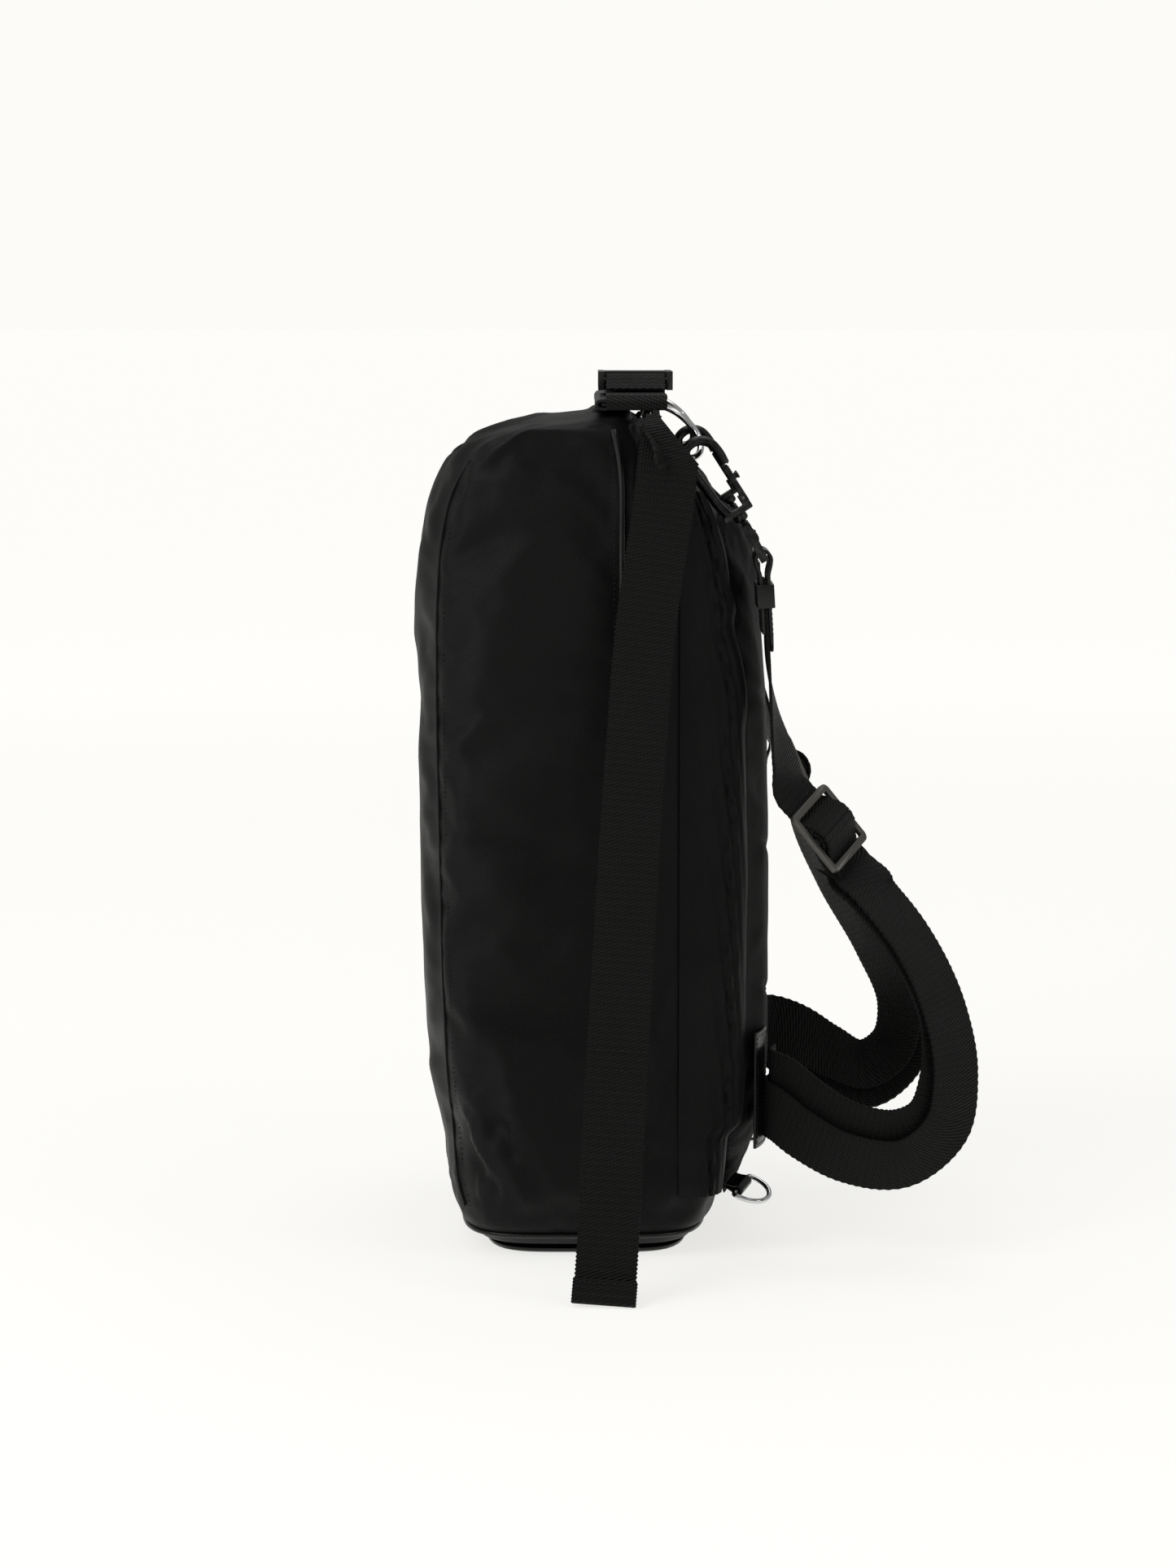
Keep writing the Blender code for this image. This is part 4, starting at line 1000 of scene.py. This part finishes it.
def closureRoute(side):
    run = bag["rollTop"] + 0.0008 + bag["thick"] / 2
    z, barY = buckleLook["z"], buckleLook["barY"]
    endY = rollLook["length"] / 2
    loop = buckleLook["barRadius"] + 0.0008 + bag["thick"] / 2
    rows = [(endY + 0.0050, run - 0.0085), (endY + 0.0047, run - 0.0045), (endY + 0.0026, run - 0.0008),
            (endY - 0.0060, run), (endY - 0.0300, run), (barY + 0.0140, run), (barY + 0.0050, run + 0.0006)]
    for a in (0, 50, 95, 140, 185):
        rows.append((barY - loop * sin(radians(a)), z - loop * cos(radians(a))))
    rows += [(barY + 0.0045, z + 0.0026), (barY + 0.0100, z - 0.0010),
             (barY + 0.0180, run + bag["thick"] + 0.0008)]
    return Route([(bag["buckleX"], side * y, h) for y, h in rows], Vector((1, 0, 0)))


def makeClosure():
    for side, tag in ((-1, "near"), (1, "far")):
        route = closureRoute(side)
        obj = strap("closure_webbing_" + tag, route, bag["webbing"], bag["thick"], "black webbing",
                    "bag" if side < 0 else None, ["closure_strap_" + tag])
        thread = bmesh.new()
        lift = -threadLook["lift"] if route.at(0.03)[3].z < 0 else threadLook["lift"]
        for s in (0.010, 0.034):
            stitchAcross(thread, route, s, threadLook["half"], lift)
        stitchStrap(thread, route, (-threadLook["half"], threadLook["half"]), 0.010, 0.034, lift)
        piece("closure_stitching_" + tag, thread, "thread", "bag")
        if side > 0:
            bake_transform(obj)
    refined("buckle_socket", "buckle_female", "moulded black", "bag", buckleLook["soft"],
            corner=(Vector((0, 1, 0)), 0.0030))
    refined("buckle_plug_part", "buckle_male", "moulded black", "buckle_plug", buckleLook["soft"])


makeRoll()
makeClosure()
print("rolled mouth and buckle made")


# rings, hooks, leather tabs
def chain(side):
    u = Vector((0.745, 0, -0.667)).normalized()
    v = Vector((0.3335, -side * 0.8660, 0.3725)).normalized()
    loop = Vector((bag["buckleX"] + 0.0078, side * (bag["strapY"] + 0.004), bag["height"] + 0.0055))
    radius = 0.0212
    centre = loop + u * radius
    eye = centre + u * radius
    axis = Vector((0.540, 0, -0.842)).normalized()
    out = Vector((0.842, 0, 0.540)).normalized()
    hook = axes(eye + axis * 0.0012 + out * 0.0010, axis, out, axis.cross(out))
    swivel = hook @ Vector((0.0540, 0, 0))
    bailDir = Vector((0.47, 0, -0.883)).normalized()
    bar = swivel + bailDir * 0.0215
    down = Vector((0.060, 0, -0.998)).normalized()
    tabOut = Vector((0.998, 0, 0.060)).normalized()
    return dict(u=u, v=v, loop=loop, centre=centre, radius=radius, hook=hook, swivel=swivel, bar=bar,
                down=down, out=tabOut)


def ringMesh(c, stock):
    bm = bmesh.new()
    verts = bmesh.ops.create_circle(bm, segments=20, radius=stock / 2)["verts"]
    bmesh.ops.rotate(bm, verts=verts, cent=(0, 0, 0), matrix=Matrix.Rotation(pi / 2, 3, "X"))
    bmesh.ops.translate(bm, verts=verts, vec=(c["radius"], 0, 0))
    bmesh.ops.spin(bm, geom=list(bm.verts) + list(bm.edges), cent=(0, 0, 0), axis=(0, 0, 1), angle=2 * pi,
                   steps=96, use_merge=True)
    closeUp(bm, fill=False)
    bmesh.ops.transform(bm, matrix=axes(c["centre"], c["u"], c["v"], c["u"].cross(c["v"])), verts=bm.verts)
    return bm


ringLook = {"stock": 0.0044, "width": 0.0114, "thick": 0.0014}


def makeRing(side, tag):
    c = chain(side)
    piece("shoulder_ring_" + tag, ringMesh(c, ringLook["stock"]), "ring chrome", "ring_" + tag,
          ["o_ring_" + tag])
    v = c["v"]
    level = Vector((1, 0, 0))
    level = (level - v * v.dot(level)).normalized()
    up = level.cross(v)
    if up.z < 0:
        up = -up
    p = c["loop"] + c["u"] * 0.0004
    r = 0.0038
    rows = [(-0.0096, -0.0054), (-0.0066, -0.0049), (-0.0048, -0.0026), (-r * 1.02, 0.0),
            (-r * 0.72, r * 0.72), (0.0, r), (r * 0.72, r * 0.72), (r * 1.02, 0.0), (0.0050, -0.0060),
            (0.0072, -0.0105), (0.0102, -0.0128)]
    route = Route([p + level * a + up * b for a, b in rows], v)
    strap("ring_webbing_" + tag, route, ringLook["width"], ringLook["thick"], "black webbing", "bag",
          ["ring_loop_" + tag], gap=0.0010, across=10, teeth=0.00025)


hookLook = {"radius": 0.0044, "flat": 0.72, "soft": 0.0011}


def makeHook(side, tag):
    f = chain(side)["hook"]
    line = [(0.0125, 0.0098), (0.0050, 0.0104), (-0.0040, 0.0085), (-0.0092, 0.0015), (-0.0080, -0.0062),
            (-0.0010, -0.0100), (0.0100, -0.0098), (0.0220, -0.0088), (0.0330, -0.0080), (0.0420, -0.0060)]
    route = Route([f @ Vector((a, b, 0)) for a, b in line], f.to_3x3() @ Vector((0, 0, 1)))
    bm = tubeMesh(route, hookLook["radius"], 18, 0.0010, flat=hookLook["flat"])
    joinBm(bm, roundedBlock((0.0430, 0, 0), (0.0040, 0.0210, 0.0110), f, 0.0010))
    joinBm(bm, turned([(0.0442, 0), (0.0442, 0.0040), (0.0450, 0.0046), (0.0482, 0.0046), (0.0492, 0.0038),
                       (0.0500, 0.0021), (0.0580, 0.0020), (0.0582, 0.0034), (0.0588, 0.0037),
                       (0.0598, 0.0034), (0.0601, 0.0022), (0.0601, 0)], f))
    for w in (-1, 1):
        joinBm(bm, roundedBlock((0.0390, 0.0078, w * 0.0042), (0.0090, 0.0054, 0.0020), f, 0.0006))
    piece("snap_hook_" + tag, bm, "hook black", "clip_" + tag, ["hook_" + tag])
    gate = roundedBlock((0.0270, 0.0087, 0), (0.0272, 0.0040, 0.0056), f, 0.0011)
    joinBm(gate, turned([(0.0, 0), (0.0, 0.0020), (0.0020, 0.0020), (0.0026, 0.0026), (0.0034, 0.0026),
                         (0.0038, 0.0020), (0.0038, 0)],
                        f @ Matrix.Translation((0.0225, 0.0098, 0)) @ Matrix.Rotation(pi / 2, 4, "Z"), 24))
    for k in range(4):
        joinBm(gate, roundedBlock((0.0155 + k * 0.0013, 0.0108, 0), (0.0006, 0.0006, 0.0048), f, 0.0002, 1))
    piece("hook_latch_" + tag, gate, "hook black", "gate_" + tag, ["hook_gate_" + tag])
    nodes["gate_rivet_" + tag].data.materials[0] = materials["slider grey"]
    refined("swivel_bail_" + tag, "hook_bail_" + tag, "hook black", "bail_" + tag, hookLook["soft"])


tabLook = {"gap": 0.0024, "thick": 0.0022}


def makeTab(side, tag):
    c = chain(side)
    o, down, out = c["bar"], c["down"], c["out"]
    g = tabLook["gap"]
    r = 0.0048
    line = [(0.0600, g), (0.0400, g), (0.0200, g), (0.0100, g + 0.0004), (0.0045, r * 0.90), (0.0000, r),
            (-0.0032, r * 0.62), (-r, 0.0), (-0.0032, -r * 0.62), (0.0000, -r), (0.0045, -r * 0.90),
            (0.0100, -g - 0.0004), (0.0200, -g), (0.0480, -g)]
    route = Route([o + down * a + out * b for a, b in line], Vector((0, 1, 0)))
    bm = strapMesh(route, bag["webbing"], gap=0.0016, across=14, teeth=0.0)
    for vert in bm.verts:
        reach = (vert.co - o).dot(down)
        if (vert.co - o).dot(out) > 0 and reach > 0.050:
            share = (reach - 0.050) / 0.010
            vert.co.y = o.y + (vert.co.y - o.y) * (1 - 0.42 * share ** 2)
    piece("leather_pull_" + tag, bm, "black leather", "bag", ["leather_tab_" + tag],
          [solidify(tabLook["thick"]), softEdge(0.0006, 3, 60)])
    thread = bmesh.new()
    for lift, low, high in ((g + threadLook["lift"], 0.008, 0.050),
                            (-g - threadLook["lift"], 0.010, 0.044)):
        for q in (-0.0160, 0.0160):
            spans = [o + down * (low + (high - low) * k / 12) + out * lift + Vector((0, q, 0))
                     for k in range(13)]
            stitches(thread, spans, out * copysign(1, lift), pitch=0.0030)
        for reach in (low + 0.001, high):
            spans = [o + down * reach + out * lift + Vector((0, q, 0)) for q in (-0.016, 0, 0.016)]
            stitches(thread, spans, out * copysign(1, lift), pitch=0.0030)
    piece("leather_stitching_" + tag, thread, "thread", "bag")
    refined("keeper_band_" + tag, "keeper_" + tag, "black leather", "keeper_%s_band" % tag, 0.0005)


for sideName, sideSign in sides:
    makeRing(sideSign, sideName)
    makeHook(sideSign, sideName)
    makeTab(sideSign, sideName)
print("rings, hooks and tabs made")


# shoulder straps
def sliderFrame(side):
    barX = chain(side)["bar"].x
    if side < 0:
        origin = Vector((max(bag["backX"] + 0.0370, barX + 0.0402), side * (bag["strapY"] + 0.012), 0.277))
        travel = Vector((0.63, 0, -0.777)).normalized()
        wide = Vector((0.468, 0.80, 0.378))
    else:
        origin = Vector((max(bag["backX"] + 0.0240, barX + 0.0272), side * (bag["strapY"] + 0.002), 0.292))
        travel = Vector((0.40, 0, -0.917)).normalized()
        wide = Vector((0.20, -0.97, 0.09))
    wide = (wide - travel * wide.dot(travel)).normalized()
    normal = travel.cross(wide).normalized()
    if normal.x < 0:
        normal = -normal
    return origin, travel, wide, normal


strapRuns = {
    -1: (0.0370, [((0.0640, 0.014, 0.2405), (0.50, 0.77, 0.40)),
                  ((0.0900, 0.012, 0.2070), (0.56, 0.74, 0.36)),
                  ((0.1120, 0.010, 0.1580), (0.70, 0.68, 0.22)),
                  ((0.1180, 0.008, 0.1200), (0.78, 0.62, 0.0)),
                  ((0.1120, 0.006, 0.0860), (0.70, 0.50, -0.50)),
                  ((0.0860, 0.006, 0.0640), (0.30, 0.42, -0.85)),
                  ((0.0480, 0.008, 0.0670), (0.06, 0.34, -0.93)),
                  ((0.0200, 0.020, 0.0800), (-0.05, 0.25, -0.96)),
                  ((0.0036, 0.034, 0.0905), (-0.05, 0.15, -0.98))],
         [((-0.0020, 0.0430, 0.0925), (-0.02, 0.08, -0.99)), ((0.0016, 0.0580, 0.0930), (0.0, 0.0, -1.0))]),
    1: (0.0240, [((0.0330, -0.038, 0.2600), (0.20, -0.95, 0.10)),
                 ((0.0540, -0.038, 0.2130), (0.30, -0.90, 0.15)),
                 ((0.0850, -0.038, 0.1650), (0.50, -0.80, 0.20)),
                 ((0.1060, -0.038, 0.1240), (0.70, -0.70, 0.0)),
                 ((0.1030, -0.038, 0.0900), (0.60, -0.65, -0.45)),
                 ((0.0790, -0.038, 0.0690), (0.30, -0.60, -0.74)),
                 ((0.0470, -0.038, 0.0790), (0.05, -0.42, -0.90)),
                 ((0.0200, -0.037, 0.0950), (0.0, -0.30, -0.95)),
                 ((0.0044, -0.036, 0.1000), (0.0, -0.15, -0.98))],
        [((-0.0014, -0.0430, 0.1010), (0.0, -0.08, -0.99)), ((0.0016, -0.0580, 0.1010), (0.0, 0.0, -1.0))]),
}


def runPoints(side):
    nominal, rows, ending = strapRuns[side]
    carry = sliderFrame(side)[0].x - bag["backX"] - nominal
    last = len(rows) - 1
    run = [(Vector((bag["backX"] + p[0] + carry * (1 - k / last), side * bag["halfWidth"] + p[1], p[2])),
            Vector(w))
           for k, (p, w) in enumerate(rows)]
    # the last two points lie flat on the sewn patch
    return run + [(Vector((bag["backX"] + p[0], side * bag["halfWidth"] + p[1], p[2])),
                   Vector(w)) for p, w in ending]


def outerRoute(side):
    c = chain(side)
    tab, down = c["bar"], c["down"]
    o, travel, wide, normal = sliderFrame(side)
    flat = Vector((0, -side, 0))
    leave = tab + down * 0.0690
    points = [tab + down * 0.0140, tab + down * 0.0400, leave]
    wides = [flat] * 3
    entry = o - travel * 0.034 - normal * 0.0042
    mid = (leave + entry) / 2 + Vector((-0.0015, 0, 0.0))
    points += [leave.lerp(mid, 0.75) + Vector((-0.0006, 0, 0)), mid.lerp(entry, 0.55)]
    wides += [flat.lerp(wide, 0.25), flat.lerp(wide, 0.75)]
    for a, b in ((-0.0340, -0.0042), (-0.0235, -0.0037), (-0.0185, -0.0034), (-0.0120, 0.0012),
                 (-0.0062, 0.0058), (0.0, 0.0072), (0.0062, 0.0058), (0.0120, 0.0012), (0.0185, -0.0034),
                 (0.0245, -0.0038)):
        points.append(o + travel * a + normal * b)
        wides.append(wide)
    for p, w in runPoints(side):
        points.append(p)
        wides.append(w)
    return Route(points, wides)


def innerRoute(side):
    o, travel, wide, normal = sliderFrame(side)
    points, wides = [], []
    for a, b in ((0.0125, -0.0026), (0.0085, -0.0010), (0.0058, 0.0014), (0.0040, 0.0036), (0.0, 0.0042),
                 (-0.0040, 0.0034), (-0.0050, 0.0), (-0.0040, -0.0036), (0.0, -0.0046), (0.0060, -0.0056),
                 (0.0130, -0.0069), (0.0200, -0.0080), (0.0270, -0.0088)):
        points.append(o + travel * a + normal * b)
        wides.append(wide)
    run = runPoints(side)
    lift = 0.020 if side < 0 else 0.012
    last = len(run) - 1
    inward = -normal
    for k, (p, w) in enumerate(run):
        t = (run[min(k + 1, last)][0] - run[max(k - 1, 0)][0]).normalized()
        across = (w - t * w.dot(t)).normalized()
        n = t.cross(across)
        inward = n if n.dot(inward) > 0 else -n
        sideways = lift * min(1.0, max(k - 2, 0) / 3)
        points.append(p + inward * (0.0056 if k < last - 1 else 0.0030) - across * sideways)
        wides.append(w)
    return Route(points, wides)


def nearestMark(route, point):
    steps = 800
    return min((route.length * k / steps for k in range(steps + 1)),
               key=lambda s: (route.at(s)[0] - point).length)


strapLengths = {}


def makeShoulderStrap(side, tag):
    o, travel, wide, normal = sliderFrame(side)
    adjuster = "adjuster_" + tag
    outer, inner = outerRoute(side), innerRoute(side)
    strapLengths[tag] = (outer.length, inner.length)
    barMark = nearestMark(outer, o + normal * 0.0072)
    common = dict(gap=0.0022, across=10, teeth=0.0003)
    upper = strap("strap_upper_" + tag, outer, bag["webbing"], bag["thick"], "black webbing", None,
                  ["strap_outer_" + tag], end=barMark, **common)
    lower = strap("strap_lower_" + tag, outer, bag["webbing"], bag["thick"], "black webbing", None,
                  ["strap_outer_" + tag], start=barMark, **common)
    under = strap("strap_return_" + tag, inner, bag["webbing"], bag["thick"], "black webbing", None,
                  ["strap_inner_" + tag], **common)
    leave = chain(side)["bar"] + chain(side)["down"] * 0.0690
    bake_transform(upper)
    for obj in (lower, under):
        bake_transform(obj)
    refined("strap_slider_" + tag, "slider_" + tag, "slider grey", adjuster, 0.0009,
            corner=(travel.cross(wide), 0.0045))
    thread = bmesh.new()
    for q in (-1, 1):
        lift = threadLook["lift"] * q
        stitchStrap(thread, outer, (-threadLook["half"], threadLook["half"]), outer.length - 0.016,
                    outer.length - 0.003, lift)
        stitchAcross(thread, outer, outer.length - 0.016, threadLook["half"], lift)
    piece("strap_stitching_" + tag, thread, "thread", "bag")


anchorLook = {"width": 0.0760, "thick": 0.0020, "z": 0.1060, "inset": 0.0022, "half": 0.0355}


def makeAnchor(tag):
    low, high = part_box("anchor_patch_" + tag)
    ys = [low.y + 0.0010 + (high.y - low.y - 0.0020) * k / 12 for k in range(13)]

    def reach(y):
        u = min(abs(y) / (bag["halfWidth"] * 0.86), 0.999) ** 1.25
        return 0.0888 + bag["padThick"] * (1 - u * u) ** 0.31

    points = [Vector((reach(y) + 0.0015, y, anchorLook["z"])) for y in ys]
    route = Route(points, Vector((0, 0, 1)))
    strap("anchor_leather_" + tag, route, anchorLook["width"], anchorLook["thick"], "black leather", "bag",
          ["anchor_patch_" + tag], gap=0.0020, across=24, teeth=0.0, rim=0.4)
    thread = bmesh.new()
    lift = threadLook["lift"] if route.at(0.01)[3].x > 0 else -threadLook["lift"]
    ends = (anchorLook["inset"], route.length - anchorLook["inset"])
    for s in ends:
        stitchAcross(thread, route, s, anchorLook["half"], lift)
    stitchStrap(thread, route, (-anchorLook["half"], anchorLook["half"], -0.012, 0.012), ends[0], ends[1],
                lift)
    piece("anchor_stitching_" + tag, thread, "thread", "bag")


def cornerFrame(side):
    c = Vector((bag["middle"] + bag["halfDepth"] * 0.99 + 0.0135, side * (bag["halfWidth"] - 0.056),
                0.0380))
    w = Vector((0.42, -side * 0.86, 0.28)).normalized()
    out = (Vector((0.93, 0, -0.22)) - w * Vector((0.93, 0, -0.22)).dot(w)).normalized()
    return c, w, out


cornerLook = {"half": 0.0125, "radius": 0.0017, "loop": 0.0030, "width": 0.0160, "thick": 0.0014}


def makeCorner(side, tag):
    c, w, out = cornerFrame(side)
    half = cornerLook["half"]
    line = [(0, -half), (0, -half * 0.5), (0, 0), (0, half * 0.5), (0, half), (0.006, half + 0.0004),
            (0.0125, half * 0.86), (0.0175, half * 0.45), (0.0190, 0), (0.0175, -half * 0.45),
            (0.0125, -half * 0.86), (0.006, -half - 0.0004)]
    ring = Route([c + out * a + w * b for a, b in line], closed=True)
    piece("corner_d_" + tag, tubeMesh(ring, cornerLook["radius"], 16, 0.0010, closed=True), "ring chrome",
          "corner_d_" + tag, ["corner_ring_" + tag])
    n = w.cross(out)
    r = cornerLook["loop"]
    rows = [(-0.0090, 0.0012), (-0.0045, 0.0018), (0.0, r), (r * 0.75, r * 0.75), (r, 0),
            (r * 0.75, -r * 0.75), (0.0, -r), (-0.0045, -0.0018), (-0.0090, -0.0012)]
    route = Route([c + out * a + n * b for a, b in rows], w)
    strap("corner_leather_" + tag, route, cornerLook["width"], cornerLook["thick"], "black leather", "bag",
          ["corner_loop_" + tag], gap=0.0010, across=8, teeth=0.0, rim=0.35)


for sideName, sideSign in sides:
    makeShoulderStrap(sideSign, sideName)
    makeAnchor(sideName)
    makeCorner(sideSign, sideName)
print("shoulder straps made", {tag: [round(x, 3) for x in pair] for tag, pair in strapLengths.items()})


# long side webbing and label
tailRows = [((0.0550, 0.0020, 0.5400), (1, 0, 0.2)), ((0.0535, -0.0030, 0.5330), (1, 0, 0.1)),
            ((0.0510, -0.0080, 0.5200), (1, 0, 0.05)), ((0.0470, -0.0120, 0.4850), (1, 0, 0)),
            ((0.0380, -0.0170, 0.4250), (1, 0, -0.05)), ((0.0290, -0.0310, 0.3200), (1, 0, -0.05)),
            ((0.0215, -0.0560, 0.2000), (1, 0, -0.03)), ((0.0150, -0.0860, 0.0900), (1, 0, 0)),
            ((0.0105, -0.1090, 0.0140), (1, -0.06, 0)), ((0.0095, -0.1135, 0.0030), (1, -0.08, 0))]


tailLook = {"start": 0.0140, "foldWidth": 0.030, "hemExtra": 0.0016, "hemThick": 0.0018, "hemLift": 0.0033}


def makeTail():
    points = [Vector((p[0], -bag["halfWidth"] + p[1], p[2])) for p, w in tailRows]
    route = Route(points, [Vector(w) for p, w in tailRows])
    bm = strapMesh(route, bag["webbing"], gap=0.0013, across=14, teeth=0.0004)
    # the top is folded away on the slant, under the ring
    bmesh.ops.bisect_plane(bm, geom=list(bm.verts) + list(bm.edges) + list(bm.faces),
                           plane_co=(0.0410, 0, 0.5440), plane_no=(0.032, 0, 0.027), clear_outer=True)
    tail = piece("side_tail", bm, "black webbing", "bag", ["tail_webbing"],
                 [solidify(bag["thick"]), softEdge(bag["thick"] * 0.3, 2, 60)])
    back = Route([route.at(s)[0] + Vector((dx, dy, dz)) for s, dx, dy, dz in
                  ((0.0330, 0.0020, 0.0024, 0.0), (0.0260, -0.0040, 0.0030, 0.0010),
                   (0.0180, -0.0110, 0.0110, 0.0005), (0.0120, -0.0150, 0.0220, -0.0010))],
                 Vector((0.64, 0.10, -0.76)))
    strap("tail_fold", back, tailLook["foldWidth"], bag["thick"], "black webbing", "bag", gap=0.0013,
          across=12, teeth=0.0004)
    end = route.length
    p, t, w, n = route.at(end)
    fold = [(-0.0140, 0.0021), (-0.0070, 0.0022), (-0.0015, 0.0022), (0.0004, 0.0012), (0.0008, 0.0),
            (0.0004, -0.0012), (-0.0015, -0.0022), (-0.0070, -0.0022), (-0.0140, -0.0021)]
    hemRoute = Route([p + t * a + n * b for a, b in fold], w)
    hem = strap("tail_hem", hemRoute, bag["webbing"] + tailLook["hemExtra"], tailLook["hemThick"],
                "black webbing", "bag", gap=0.0010, across=14, teeth=0.0004)
    thread = bmesh.new()
    for lift in (tailLook["hemLift"], -tailLook["hemLift"]):
        stitchAcross(thread, route, end - 0.0115, threadLook["tailHalf"], lift, pitch=0.0030)
        stitchAcross(thread, route, end - 0.0040, threadLook["tailHalf"], lift, pitch=0.0030)
    for lift in (threadLook["lift"], -threadLook["lift"]):
        for s in (end - 0.155, end - 0.143):
            stitchAcross(thread, route, s, threadLook["tailHalf"], lift, pitch=0.0030)
    piece("tail_stitching", thread, "thread", "bag")
    first = tailLook["start"]
    line = [list(route.at(first + (route.length - first) * k / 40)[0]) for k in range(41)]
    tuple(line[0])
    return route.length - first


def makeLabel():
    low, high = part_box("care_label")
    mid = (low + high) / 2

    def place(u, v):
        return Vector((mid.x + 0.0012 * sin(u * 5), mid.y + (v - 0.5) * 0.020, high.z - u * 0.016))

    piece("label_flap", gridMesh(14, 12, place, (0.016, 0.020)), "label tape", "bag", ["care_label"],
          [solidify(0.0006)])


tailLength = makeTail()
makeLabel()
print("side webbing made, length", round(tailLength, 3))
